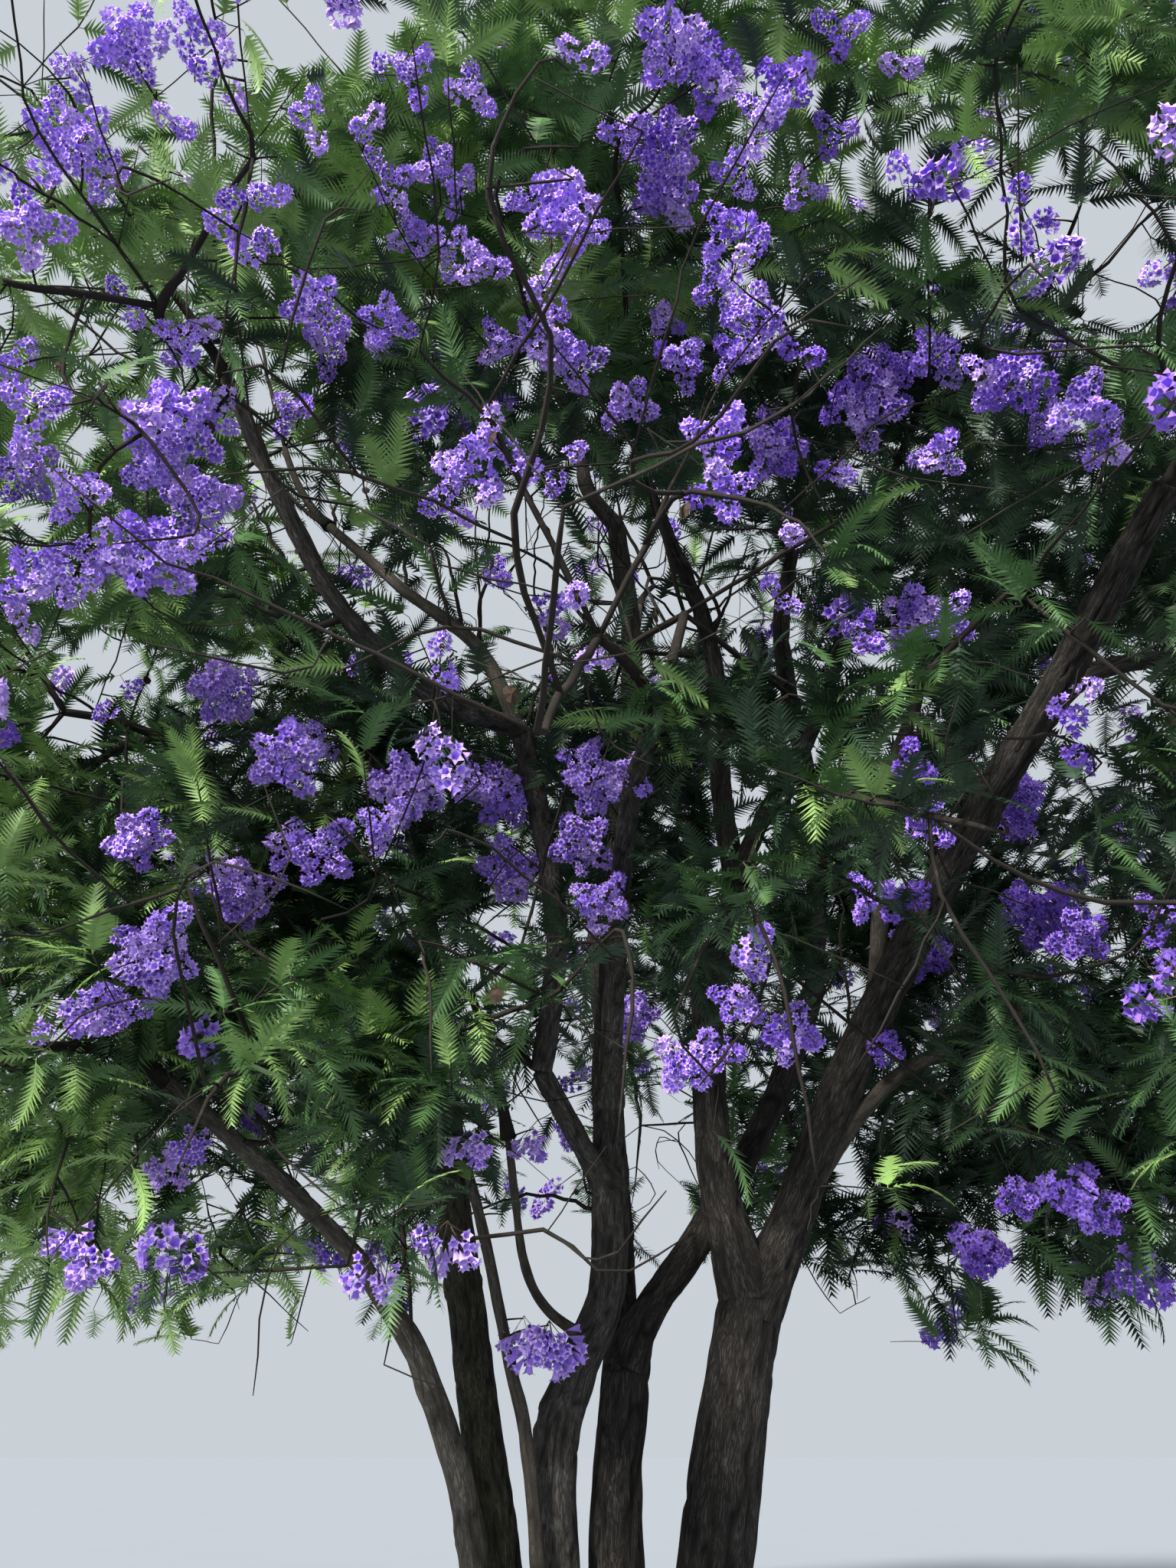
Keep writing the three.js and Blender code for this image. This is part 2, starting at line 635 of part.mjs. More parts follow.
// A mass of foliage: its stem, cut clear of the bough and of other stems, its twigs and their sprays.
function foliageSolid(mass) {
  const numbers = seededNumbers(SEED * mass.seed);
  const knots = growTwigs(mass, spraySites(mass, numbers));
  const from = TIP_GAP / mass.curve.getLength();
  const stemShape = { from, sides: STEM_SIDES, rings: STEM_KNOTS };
  let stem = taperingBar(mass.curve, mass.radiusAt, stemShape);
  for (const limb of inflatedLimbs) stem = stem.subtract(limb);
  inflatedLimbs.push(taperingBar(mass.curve, mass.radiusAt, { ...stemShape, grow: GAP }));
  const strands = strandsOf(knots).flatMap((strand) => strandSolids(mass, strand, numbers));
  return mainBody(union([mainBody(stem), ...strands]));
}

const tree = new THREE.Group();
const stems = [...limbs.values()].filter((limb) => !limb.on);
tree.add(meshOf('root_crown', rootCrown(stems), barkMaterial(STUMP_PROFILE[1][0])));
for (const limb of limbs.values()) {
  tree.add(meshOf(limb.name, limbSolid(limb), barkMaterial(limb.radius[0])));
}
for (const mass of masses) {
  tree.add(meshOf(mass.name, foliageSolid(mass), foliageMaterial(mass.bloom)));
}

export default tree;
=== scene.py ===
# %% [markdown]
# # A jacaranda in full bloom
#
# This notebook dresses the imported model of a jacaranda: a clump of stems from one root crown,
# boughs that fork and wander, and an airy crown of fern-like leaves and lilac flowers.
# It goes as the tree does: limbs and their bark first, then the twigs that grow on from them,
# then leaves, flowers and pods at the twigs' ends, and at last the light.
#
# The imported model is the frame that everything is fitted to. It is loaded first, and its box
# is kept, because the dressed tree may not grow out of it.

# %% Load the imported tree
import json
import math

import bpy
import numpy as np
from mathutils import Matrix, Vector, noise

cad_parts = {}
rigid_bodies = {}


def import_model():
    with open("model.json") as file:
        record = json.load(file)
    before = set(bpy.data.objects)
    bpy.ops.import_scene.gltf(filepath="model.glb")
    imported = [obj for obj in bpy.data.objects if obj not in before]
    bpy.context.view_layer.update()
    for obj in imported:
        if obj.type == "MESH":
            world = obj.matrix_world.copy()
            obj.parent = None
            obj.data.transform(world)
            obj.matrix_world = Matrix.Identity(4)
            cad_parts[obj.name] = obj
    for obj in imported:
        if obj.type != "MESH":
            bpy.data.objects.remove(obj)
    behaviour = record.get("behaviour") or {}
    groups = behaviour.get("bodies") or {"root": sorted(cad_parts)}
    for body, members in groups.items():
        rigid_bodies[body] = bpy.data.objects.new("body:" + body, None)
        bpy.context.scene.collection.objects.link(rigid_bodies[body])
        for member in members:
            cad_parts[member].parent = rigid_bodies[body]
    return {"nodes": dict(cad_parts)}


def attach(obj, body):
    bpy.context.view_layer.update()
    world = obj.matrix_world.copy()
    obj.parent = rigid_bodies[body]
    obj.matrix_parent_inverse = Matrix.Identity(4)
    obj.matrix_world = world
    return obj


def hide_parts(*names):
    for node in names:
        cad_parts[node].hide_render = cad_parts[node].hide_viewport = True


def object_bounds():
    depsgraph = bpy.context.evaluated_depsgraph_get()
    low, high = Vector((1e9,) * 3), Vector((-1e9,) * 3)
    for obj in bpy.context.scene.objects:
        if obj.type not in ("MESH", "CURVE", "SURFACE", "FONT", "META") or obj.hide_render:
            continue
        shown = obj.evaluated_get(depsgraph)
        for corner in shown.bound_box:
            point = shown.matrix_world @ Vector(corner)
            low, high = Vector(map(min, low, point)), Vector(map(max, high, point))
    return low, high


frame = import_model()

CAD_BOX = [list(corner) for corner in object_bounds()]
print("packed nodes:", len(frame["nodes"]), "box:", CAD_BOX)

# %% [markdown]
# ## The viewer
#
# The tree is seen from the path in front of it, looking up into the crown, so the view is
# set before anything else: whatever shows from here gets the most care. The camera stands at
# head height and is tipped up. Its lens follows from how wide the stems look at their distance.
# A small function tells where a point of the tree falls in the picture, for later use.

# %% Place the camera
PICTURE = (1536, 2048)
EYE = np.array([0.0, -7.0, 1.65])
TIPPED_UP = math.radians(29)
FOCAL_PIXELS = 1540
SENSOR_MM = 36
AHEAD = np.array([0, math.cos(TIPPED_UP), math.sin(TIPPED_UP)])
SIDEWAYS = np.array([1.0, 0, 0])
UPWARD = np.array([0, -math.sin(TIPPED_UP), math.cos(TIPPED_UP)])

camera_data = bpy.data.cameras.new("viewer")
camera_data.sensor_width = SENSOR_MM
camera_data.lens = SENSOR_MM * FOCAL_PIXELS / max(PICTURE)
camera = bpy.data.objects.new("viewer", camera_data)
camera.location = EYE
camera.rotation_euler = (math.pi / 2 + TIPPED_UP, 0, 0)
bpy.context.scene.collection.objects.link(camera)
bpy.context.scene.camera = camera


def in_picture(spots):
    """Where points fall in the picture, in pixels, and how far in front of the eye they are."""
    reach = np.atleast_2d(spots) - EYE
    deep = reach @ AHEAD
    across = PICTURE[0] / 2 + FOCAL_PIXELS * (reach @ SIDEWAYS) / deep
    down = PICTURE[1] / 2 - FOCAL_PIXELS * (reach @ UPWARD) / deep
    return np.column_stack([across, down]), deep


def in_frame(seen, deep):
    """Which points the picture's frame holds."""
    return (deep > 0) & (seen > 0).all(1) & (seen < PICTURE).all(1)


print("lens:", round(camera_data.lens, 2), "mm")

# %% [markdown]
# ## Limbs as smooth curves
#
# A limb is written down as a few points that it passes, its thickness at the foot and at the
# tip, and where it starts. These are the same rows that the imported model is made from, so the
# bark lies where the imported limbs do. Between its points a limb follows a Catmull-Rom curve,
# which goes through every point and turns smoothly there, as a growing limb does.

# %% Write down the limbs
LIMBS = {
    "stem_left": ((-0.43, -0.11, 0), (0.082, 0.056), [(-0.52, -0.1, 0.9), (-0.64, -0.11, 1.45),
        (-0.87, -0.2, 1.99), (-1.04, -0.3, 2.25)]),
    "stem_ridged": ((-0.33, 0.17, 0), (0.125, 0.084), [(-0.42, 0.13, 0.9), (-0.58, 0.1, 1.78),
        (-0.75, 0.1, 2.71), (-0.9, 0, 3.83)]),
    "stem_slim": ((-0.13, -0.27, 0), (0.04, 0.024), [(-0.28, -0.22, 1.45), (-0.4, -0.3, 1.99),
        (-0.56, -0.56, 2.64), (-0.7, -1.25, 3.15)]),
    "stem_middle": ((-0.08, 0.02, 0), (0.118, 0.092), [(-0.17, 0, 1.44), (-0.07, 0, 1.93),
        (0.1, 0, 2.34), (0.122, 0, 2.95), (0.115, 0, 3.6)]),
    "stem_rough": ((0.19, 0.26, 0), (0.15, 0.122), [(0.145, 0.19, 1.2), (0.2, 0.17, 1.96)]),
    "stem_right": ((0.47, 0.06, 0), (0.195, 0.17), [(0.64, 0.02, 1.15), (0.89, 0, 2.3)]),
    "shoot_slim": (("stem_middle", 0.48), (0.03, 0.02), [(-0.31, -0.2, 2.38),
        (-0.43, -0.52, 3.06)]),
    "bough_lower_left": (("stem_left", 1), (0.054, 0.04), [(-1.23, -0.45, 2.49),
        (-1.59, -0.78, 2.81), (-2.06, -1.26, 3.17)]),
    "bough_left": (("stem_ridged", 1), (0.062, 0.036), [(-1.13, -0.3, 3.95), (-1.5, -0.7, 4.3),
        (-2.15, -1.15, 4.95)]),
    "bough_left_upright": (("stem_ridged", 1), (0.06, 0.034), [(-1, 0.06, 4.35),
        (-1.25, 0.35, 5.4), (-1.55, 0.52, 6.35)]),
    "bough_back_left": (("stem_ridged", 0.66), (0.07, 0.038), [(-1.05, 0.9, 3.5),
        (-1.75, 1.95, 4.5)]),
    "leader": (("stem_middle", 1), (0.086, 0.062), [(0.2, -0.19, 4.9), (0.3, -0.4, 6.3),
        (0.2, -0.6, 7.27)]),
    "leader_top": (("leader", 1), (0.058, 0.034), [(-0.01, -0.77, 7.48), (-0.08, -0.9, 7.85),
        (-0.33, -1.1, 8.42)]),
    "leader_back": (("leader", 0.62), (0.05, 0.032), [(0.33, 0.15, 6.7), (0.42, 0.75, 7.6)]),
    "bough_knuckle": (("stem_middle", 0.78), (0.064, 0.052), [(-0.08, -0.29, 3.15),
        (-0.26, -0.5, 3.43)]),
    "bough_middle_left": (("bough_knuckle", 1), (0.06, 0.06), [(-0.2, -0.61, 3.85),
        (-0.19, -0.76, 4.35), (-0.39, -1.1, 5.28)]),
    "bough_front_left": (("bough_middle_left", 1), (0.058, 0.038), [(-0.84, -1.68, 5.15),
        (-1.24, -2.1, 5.35), (-1.56, -2.33, 5.85), (-1.95, -2.5, 6.65)]),
    "bough_upper_left": (("bough_middle_left", 0.97), (0.046, 0.03), [(-0.64, -1.22, 5.76),
        (-1.15, -1.2, 6.25), (-1.68, -1.12, 6.82)]),
    "bough_front": (("stem_middle", 0.93), (0.062, 0.04), [(0.16, -0.9, 4.02),
        (0.2, -1.9, 4.35), (0.28, -2.65, 4.33)]),
    "bough_crossing": (("stem_rough", 1), (0.098, 0.07), [(0.33, 0.23, 2.26),
        (0.65, 0.37, 2.68), (1.11, 0.42, 3.38), (1.49, 0.38, 4.25)]),
    "bough_inner_right": (("bough_crossing", 1), (0.066, 0.046), [(1.53, 0.08, 5.25),
        (1.33, -0.38, 6.4), (1.44, -0.62, 7.15)]),
    "bough_back": (("stem_rough", 0.96), (0.084, 0.04), [(0.19, 0.8, 3.05), (0.09, 1.75, 4.5),
        (0.02, 2.25, 5.6)]),
    "bough_upright_right": (("stem_right", 1), (0.112, 0.088), [(0.75, -0.01, 2.85),
        (0.71, -0.06, 3.3), (0.72, -0.11, 3.98)]),
    "bough_middle_right": (("bough_upright_right", 1), (0.08, 0.04), [(0.9, -0.23, 4.6),
        (0.85, -0.42, 5.25), (0.8, -0.72, 6.15), (0.48, -1.1, 6.9)]),
    "bough_front_right": (("bough_middle_right", 0.27), (0.056, 0.034), [(1.12, -0.5, 5.08),
        (1.4, -0.9, 5.5), (1.65, -1.55, 6.25)]),
    "bough_right": (("stem_right", 0.97), (0.132, 0.066), [(1.12, -0.02, 2.69),
        (1.54, -0.56, 3.6), (1.95, -1.33, 4.35), (2.29, -2.23, 4.87), (2.56, -3.08, 5.33)]),
    "bough_low_right": (("bough_right", 0.2), (0.05, 0.036), [(1.7, -0.5, 3.39),
        (2.5, -0.95, 3.6)]),
    "bough_outer_right": (("bough_right", 0.76), (0.058, 0.038), [(2.6, -2, 5.08),
        (3.15, -1.75, 5.35)]),
    "bough_light_right": (("bough_right", 0.43), (0.05, 0.032), [(1.72, -1.02, 4.85),
        (1.92, -1.25, 5.45), (2.15, -1.15, 6.35)]),
    "bough_back_right": (("stem_right", 0.95), (0.096, 0.04), [(1.35, 0.65, 3.05),
        (2.15, 1.8, 4.45)]),
}
FINE_STEPS = 400             # the short steps that a curve's length is summed from
FEWEST_SPANS = 4


class Curve:
    """A smooth curve through points. A share of 0 is its foot and a share of 1 its tip."""

    def __init__(self, points):
        points = np.array(points, float)
        before = 2 * points[0] - points[1]
        after = 2 * points[-1] - points[-2]
        self.points = np.vstack([before, points, after])
        self.spans = len(points) - 1

    def at(self, shares):
        run = np.clip(np.asarray(shares, float), 0, 1) * self.spans
        span = np.minimum(run.astype(int), self.spans - 1)
        part = (run - span)[..., None]
        last, start, end, coming = (self.points[span + step] for step in range(4))
        leave, arrive = (end - last) / 2, (coming - start) / 2
        square = 3 * (end - start) - 2 * leave - arrive
        cube = 2 * (start - end) + leave + arrive
        return start + leave * part + square * part**2 + cube * part**3

    def evenly(self, step):
        """Shares about step metres apart along the curve, and their distances from its foot."""
        fine = np.linspace(0, 1, FINE_STEPS + 1)
        lengths = np.linalg.norm(np.diff(self.at(fine), axis=0), axis=1)
        run = np.concatenate([[0], np.cumsum(lengths)])
        wanted = np.linspace(0, run[-1], max(FEWEST_SPANS, round(run[-1] / step)) + 1)
        return np.interp(wanted, run, fine), wanted

    def heading(self, share):
        ends = self.at([max(share - 1e-3, 0), min(share + 1e-3, 1)])
        return unit(ends[1] - ends[0])


def unit(ways):
    return ways / np.maximum(np.linalg.norm(ways, axis=-1, keepdims=True), 1e-9)


def taper(radii, share):
    """A limb's radius at a share of it."""
    return radii[0] + (radii[1] - radii[0]) * share


limbs = {}
for name, (start, radii, points) in LIMBS.items():
    parent = limbs.get(start[0])
    foot = parent["curve"].at(start[1]) if parent else np.array(start, float)
    limbs[name] = {"curve": Curve([foot, *points]), "radii": radii, "parent": parent,
                   "at": start[1] if parent else 0, "index": len(limbs)}
print("limbs:", len(limbs), "metres of them:",
      round(sum(limb["curve"].evenly(0.1)[1][-1] for limb in limbs.values()), 1))

# %% [markdown]
# ## Meshes from arrays
#
# A tree is far too many small things to make one by one. Every kind of thing is therefore
# worked out as arrays of corners and triangles, collected, and turned into one mesh at the end.
# Each triangle also keeps a number that says which of the piece's finishes it wears.

# %% Collect and join arrays
class Parts:
    """Collects corners and triangles, to be joined as one piece."""

    def __init__(self):
        self.spots, self.faces, self.finishes, self.marks = [], [], [], {}
        self.count = 0

    def add(self, spots, faces, finish=0, **marks):
        self.spots.append(spots)
        self.faces.append(faces + self.count)
        self.finishes.append(np.broadcast_to(finish, len(faces)))
        for mark, values in marks.items():
            self.marks.setdefault(mark, []).append(values)
        self.count += len(spots)

    def scatter(self, shape, places, turns, sizes, finish=0):
        """Adds a copy of shape at each place. The columns of a turn are the copy's own axes."""
        spots, faces, finishes = shape
        if len(places) == 0:
            return
        copies = np.einsum("nij,mj->nmi", turns, spots) * np.reshape(sizes, (-1, 1, 1))
        copies += places[:, None]
        shift = (np.arange(len(places)) * len(spots))[:, None, None]
        every = np.broadcast_to(np.reshape(finish, (-1, 1)), (len(places), 1))
        self.add(copies.reshape(-1, 3), (faces[None] + shift).reshape(-1, 3),
                 (finishes[None] + every).reshape(-1))

    def shape(self):
        """The parts so far as one shape that can be scattered."""
        return np.vstack(self.spots), np.vstack(self.faces), np.concatenate(self.finishes)

    def piece(self, name, materials, smooth=False):
        spots = np.vstack(self.spots).astype(np.float32)
        faces = np.vstack(self.faces).astype(np.int32)
        mesh = bpy.data.meshes.new(name)
        mesh.vertices.add(len(spots))
        mesh.vertices.foreach_set("co", spots.ravel())
        mesh.loops.add(faces.size)
        mesh.loops.foreach_set("vertex_index", faces.ravel())
        mesh.polygons.add(len(faces))
        mesh.polygons.foreach_set("loop_start", np.arange(0, faces.size, 3, dtype=np.int32))
        for material in materials:
            mesh.materials.append(material)
        mesh.polygons.foreach_set("material_index", np.concatenate(self.finishes).astype(np.int32))
        mesh.polygons.foreach_set("use_smooth", np.full(len(faces), smooth))
        for mark, values in self.marks.items():
            values = np.concatenate(values).astype(np.float32)
            kind = "FLOAT_VECTOR" if values.ndim > 1 else "FLOAT"
            field = "vector" if values.ndim > 1 else "value"
            mesh.attributes.new(mark, kind, "POINT").data.foreach_set(field, values.ravel())
        mesh.update(calc_edges=True)
        mesh.validate()
        made = bpy.data.objects.new(name, mesh)
        bpy.context.scene.collection.objects.link(made)
        print(f"{name}: {len(faces)} triangles")
        return made


def ways_round(points, sides):
    """The ways out from each point of a path to a ring of corners, turned as little as can be."""
    ahead = unit(np.gradient(points, axis=0))
    across = np.empty_like(ahead)
    last = np.eye(3)[np.argmin(np.abs(ahead[0]))]
    for place, way in enumerate(ahead):
        last = unit(last - way * (last @ way))
        across[place] = last
    turn = np.linspace(0, math.tau, sides, endpoint=False)[:, None]
    return across[:, None] * np.cos(turn) + np.cross(ahead, across)[:, None] * np.sin(turn)


def tube_faces(rings, sides):
    """The triangles of a tube with closed ends, whose two end points come after its rings."""
    ring, side = np.meshgrid(np.arange(rings - 1), np.arange(sides), indexing="ij")
    here, beside = ring * sides + side, ring * sides + (side + 1) % sides
    lower = np.stack([here, beside, beside + sides], -1).reshape(-1, 3)
    upper = np.stack([here, beside + sides, here + sides], -1).reshape(-1, 3)
    rim = np.arange(sides)
    last = (rings - 1) * sides
    foot = np.stack([(rim + 1) % sides, rim, np.full(sides, rings * sides)], -1)
    tip = np.stack([last + rim, last + (rim + 1) % sides, np.full(sides, rings * sides + 1)], -1)
    return np.vstack([lower, upper, foot, tip])

# %% [markdown]
# ## The shape of bark
#
# Close to, a jacaranda's stem is anything but a smooth pole. It swells and narrows, old bark
# splits into long upright ridges, a ring of swollen wood marks where a branch was cut, and every
# branch stands on a collar where it leaves its parent. All of that changes the outline, so it
# is real relief in the mesh: each corner of a tube is moved in or out by a height that is
# worked out from its place round and along the limb. Finer cracks are left to the material.
#
# `noise.noise` gives smooth hills and hollows around nought. Where it crosses nought there is a
# thin winding line, and lines that are stretched along the limb make natural splits.

# %% Work out the bark's relief
RIDGE_STRETCH = 5.5          # how much longer than wide a ridge of bark is
SPLIT_SHARPNESS = 0.13       # how far from nought the noise still counts as a split
RIDGE_LEVEL = 0.45           # how far unsplit bark stands out, as a share of the bark's depth
CRUMB_DEPTH, CRUMB_FINENESS = 0.55, 2.3
SWELLING = 0.11              # how much a limb swells and narrows, as a share of its radius
SWELL_SIZE = np.array([3.2, 3.2, 4.5])   # a swelling's width twice and its length, in radii
CRUMB_SHIFT, SWELL_SHIFT = 5, 11         # take crumbs and swellings from other parts of the noise
GRAIN_SHIFT = 7.3            # keeps the patterns of two limbs apart
CELL, YOUNG_CELL = 0.019, 0.8            # metres between corners, and a young limb's share of it
SLIM_RADIUS = 0.046          # limbs under this radius have young bark
THICK_RADIUS, THICK_STEP, SLIM_STEP = 0.08, 1.1, 1.5   # how many cells long a step along a limb is
SIDE_LIMITS = (10, 64)
FLARE, FLARE_TOP = 0.30, 0.45            # how much a stem widens at the ground, and up to where
CARRIES_ON = 0.94            # a limb that starts beyond this share of its bearer carries it on
CARRIED_WIDTH, CARRIED_FADE = 0.97, 1.9
COLLAR, COLLAR_START, COLLAR_FADE = 0.55, 0.75, 1.3
KNOT_SWELL, KNOT_DIMPLE, DIMPLE_WIDTH = 0.34, 0.42, 0.42
END_FADE, TIP_ROUND = 0.1, 0.5           # the relief fades over this length at a rounded tip
KNOT_STEPS = 200

BARKS = {"old": (0.052, 0.0085), "rough": (0.062, 0.0125), "ridged": (0.043, 0.0100),
         "pale": (0.060, 0.0055), "young": (0.040, 0.0020)}

# Old pruning scars and knots: the limb, the height and the compass turn from +X, and the size.
KNOTS = [
    ("stem_left", 1.22, 200, 0.050), ("stem_left", 1.52, 320, 0.042),
    ("stem_left", 1.86, 230, 0.055), ("stem_left", 2.10, 290, 0.040),
    ("stem_ridged", 1.35, 260, 0.055), ("stem_ridged", 2.30, 300, 0.060),
    ("stem_ridged", 3.10, 250, 0.050), ("stem_middle", 1.74, 185, 0.085),
    ("stem_middle", 2.62, 280, 0.055), ("stem_middle", 1.20, 300, 0.050),
    ("stem_rough", 1.40, 270, 0.075), ("stem_rough", 1.72, 235, 0.070),
    ("stem_right", 1.30, 250, 0.080), ("stem_right", 1.78, 290, 0.095),
    ("stem_right", 2.12, 235, 0.090), ("bough_right", 2.95, 260, 0.060),
    ("bough_right", 3.70, 300, 0.050), ("bough_right", 4.40, 250, 0.045),
    ("bough_upright_right", 3.05, 270, 0.055), ("bough_middle_right", 4.55, 280, 0.045),
    ("bough_crossing", 2.85, 265, 0.050), ("bough_crossing", 3.60, 250, 0.045),
    ("leader", 4.60, 270, 0.045), ("leader", 5.70, 240, 0.040),
    ("bough_middle_left", 4.10, 250, 0.045), ("stem_middle", 3.20, 250, 0.050),
]


def noise_at(spots):
    return np.array([noise.noise(spot) for spot in spots.tolist()])


def relief_at(grain, radius, bark):
    """How far bark stands out from a limb's plain round, and where it is split, from 0 to 1."""
    width, depth = BARKS[bark]
    ridges = grain / (width, width, width * RIDGE_STRETCH)
    split = np.exp(-((noise_at(ridges) / SPLIT_SHARPNESS) ** 2))
    crumbs = noise_at(ridges * CRUMB_FINENESS + CRUMB_SHIFT)
    swell = noise_at(grain / (SWELL_SIZE * radius) + SWELL_SHIFT)
    height = depth * (RIDGE_LEVEL - split + CRUMB_DEPTH * crumbs) + SWELLING * radius * swell
    return height, split


def knots_on(name, limb):
    """The middle of each knot on the limb's surface, and its size."""
    shares = np.linspace(0, 1, KNOT_STEPS + 1)
    path = limb["curve"].at(shares)
    for bearer, height, turn, size in KNOTS:
        if bearer == name:
            near = np.argmin(np.abs(path[:, 2] - height))
            way = np.array([math.cos(math.radians(turn)), math.sin(math.radians(turn)), 0])
            yield path[near] + way * taper(limb["radii"], shares[near]), size


def collar(limb, run):
    """How much wider a limb is near its foot, where it grows out of the one that bears it."""
    parent, thick = limb["parent"], limb["radii"][0]
    if parent is None:
        return FLARE * np.maximum(0, 1 - run / FLARE_TOP) ** 2 * thick
    bearer = taper(parent["radii"], limb["at"])
    if limb["at"] > CARRIES_ON:
        extra = max(bearer * CARRIED_WIDTH - thick, 0)
        return extra * np.exp(-(run / (bearer * CARRIED_FADE)) ** 2)
    beyond = np.maximum(run - bearer * COLLAR_START, 0)
    return COLLAR * thick * np.exp(-beyond / (thick * COLLAR_FADE))


def bark_tube(parts, name, bark):
    """Adds a limb with its bark's relief to parts."""
    limb = limbs[name]
    thick, slim = limb["radii"]
    cell = CELL if thick > SLIM_RADIUS else CELL * YOUNG_CELL
    shares, run = limb["curve"].evenly(cell * (THICK_STEP if thick > THICK_RADIUS else SLIM_STEP))
    sides = int(np.clip(math.tau * thick / cell, *SIDE_LIMITS))
    centres = limb["curve"].at(shares)
    way = ways_round(centres, sides)
    radius = taper(limb["radii"], shares) + collar(limb, run)
    plain = centres[:, None] + way * radius[:, None, None]
    turn = np.linspace(0, math.tau, sides, endpoint=False)
    along = (run + GRAIN_SHIFT * limb["index"])[:, None]
    flat = np.stack(np.broadcast_arrays(np.cos(turn) * thick, np.sin(turn) * thick, along), -1)
    height, split = (part.reshape(plain.shape[:2])
                     for part in relief_at(flat.reshape(-1, 3), thick, bark))
    for middle, size in knots_on(name, limb):
        away = np.linalg.norm(plain - middle, axis=-1) / size
        dimple = KNOT_DIMPLE * np.exp(-((away / DIMPLE_WIDTH) ** 2))
        height += size * (KNOT_SWELL * np.exp(-(away**2)) - dimple)
    height *= np.minimum(1, (run[-1] - run + 0.01) / END_FADE)[:, None]
    spots = (plain + way * height[..., None]).reshape(-1, 3)
    spots[:, 2] = np.maximum(spots[:, 2], 0)
    tip = centres[-1] + unit(centres[-1] - centres[-2]) * slim * TIP_ROUND
    grain = np.vstack([flat.reshape(-1, 3), flat[0].mean(0), flat[-1].mean(0)])
    parts.add(np.vstack([spots, centres[0], tip]), tube_faces(len(shares), sides),
              grain=grain, split=np.concatenate([split.ravel(), [0, 0]]))


print("knots:", len(KNOTS), "kinds of bark:", len(BARKS))

# %% [markdown]
# ## Node groups that several finishes share
#
# Bark, twigs, leaves and petals each need a little unevenness of colour, and all the bark needs
# splits and patches. Such an effect is built once as a node group with named sockets, and each
# material sets its own sizes on it. A group gives out only what changes over the surface.
# The bark's pattern follows the `grain` mark, which every corner carries: its place round and
# along the limb. Ridges therefore run along a limb however it leans, with no seam.

# %% Build the shared node groups
FLOAT, COLOUR = "NodeSocketFloat", "NodeSocketColor"
CRACK_EDGE, GRIT_FINENESS = 11, 3.1      # how steep cracks' edges are, and how fine the grit


def node_group(name, inputs, outputs):
    """An empty group with its sockets, and its input sockets and output node."""
    group = bpy.data.node_groups.new(name, "ShaderNodeTree")
    for label, kind, value in inputs:
        made = group.interface.new_socket(label, in_out="INPUT", socket_type=kind)
        made.default_value = value
    for label in outputs:
        kind = COLOUR if label == "Color" else FLOAT
        group.interface.new_socket(label, in_out="OUTPUT", socket_type=kind)
    given = group.nodes.new("NodeGroupInput").outputs
    return group, given, group.nodes.new("NodeGroupOutput").inputs


def feed(tree, socket, value):
    """Links a socket to another one, or gives it a plain value."""
    if isinstance(value, bpy.types.NodeSocket):
        tree.links.new(value, socket)
    else:
        socket.default_value = value


def math_node(tree, operation, *values):
    made = tree.nodes.new("ShaderNodeMath")
    made.operation = operation
    for socket, value in zip(made.inputs, values):
        feed(tree, socket, value)
    return made.outputs[0]


def noise_node(tree, spot, scale, detail, distortion=0.0):
    made = tree.nodes.new("ShaderNodeTexNoise")
    for label, value in (("Vector", spot), ("Scale", scale), ("Detail", detail),
                         ("Distortion", distortion)):
        feed(tree, made.inputs[label], value)
    return made.outputs["Fac"]


def blend_node(tree, share, first, second):
    """Mixes two colours by share. Each is a socket or a plain colour."""
    made = tree.nodes.new("ShaderNodeMix")
    made.data_type = "RGBA"
    for place, value in ((0, share), (6, first), (7, second)):
        feed(tree, made.inputs[place], value)
    return made.outputs[2]


def mark_node(tree, mark):
    """Reads a mark that the mesh's corners carry."""
    made = tree.nodes.new("ShaderNodeAttribute")
    made.attribute_name = mark
    return made.outputs


def object_spot(tree):
    return tree.nodes.new("ShaderNodeTexCoord").outputs["Object"]


def make_tone_drift():
    """A colour that drifts a little lighter and darker over the surface."""
    group, given, out = node_group("tone_drift", [
        ("Color", COLOUR, (1, 1, 1, 1)), ("Amount", FLOAT, 0.2), ("Scale", FLOAT, 20)], ["Color"])
    drift = noise_node(group, object_spot(group), given["Scale"], 2)
    swing = math_node(group, "MULTIPLY", math_node(group, "SUBTRACT", drift, 0.5), 2)
    factor = math_node(group, "ADD", math_node(group, "MULTIPLY", swing, given["Amount"]), 1)
    scaled = group.nodes.new("ShaderNodeVectorMath")
    scaled.operation = "SCALE"
    group.links.new(given["Color"], scaled.inputs[0])
    group.links.new(factor, scaled.inputs["Scale"])
    group.links.new(scaled.outputs[0], out["Color"])
    return group


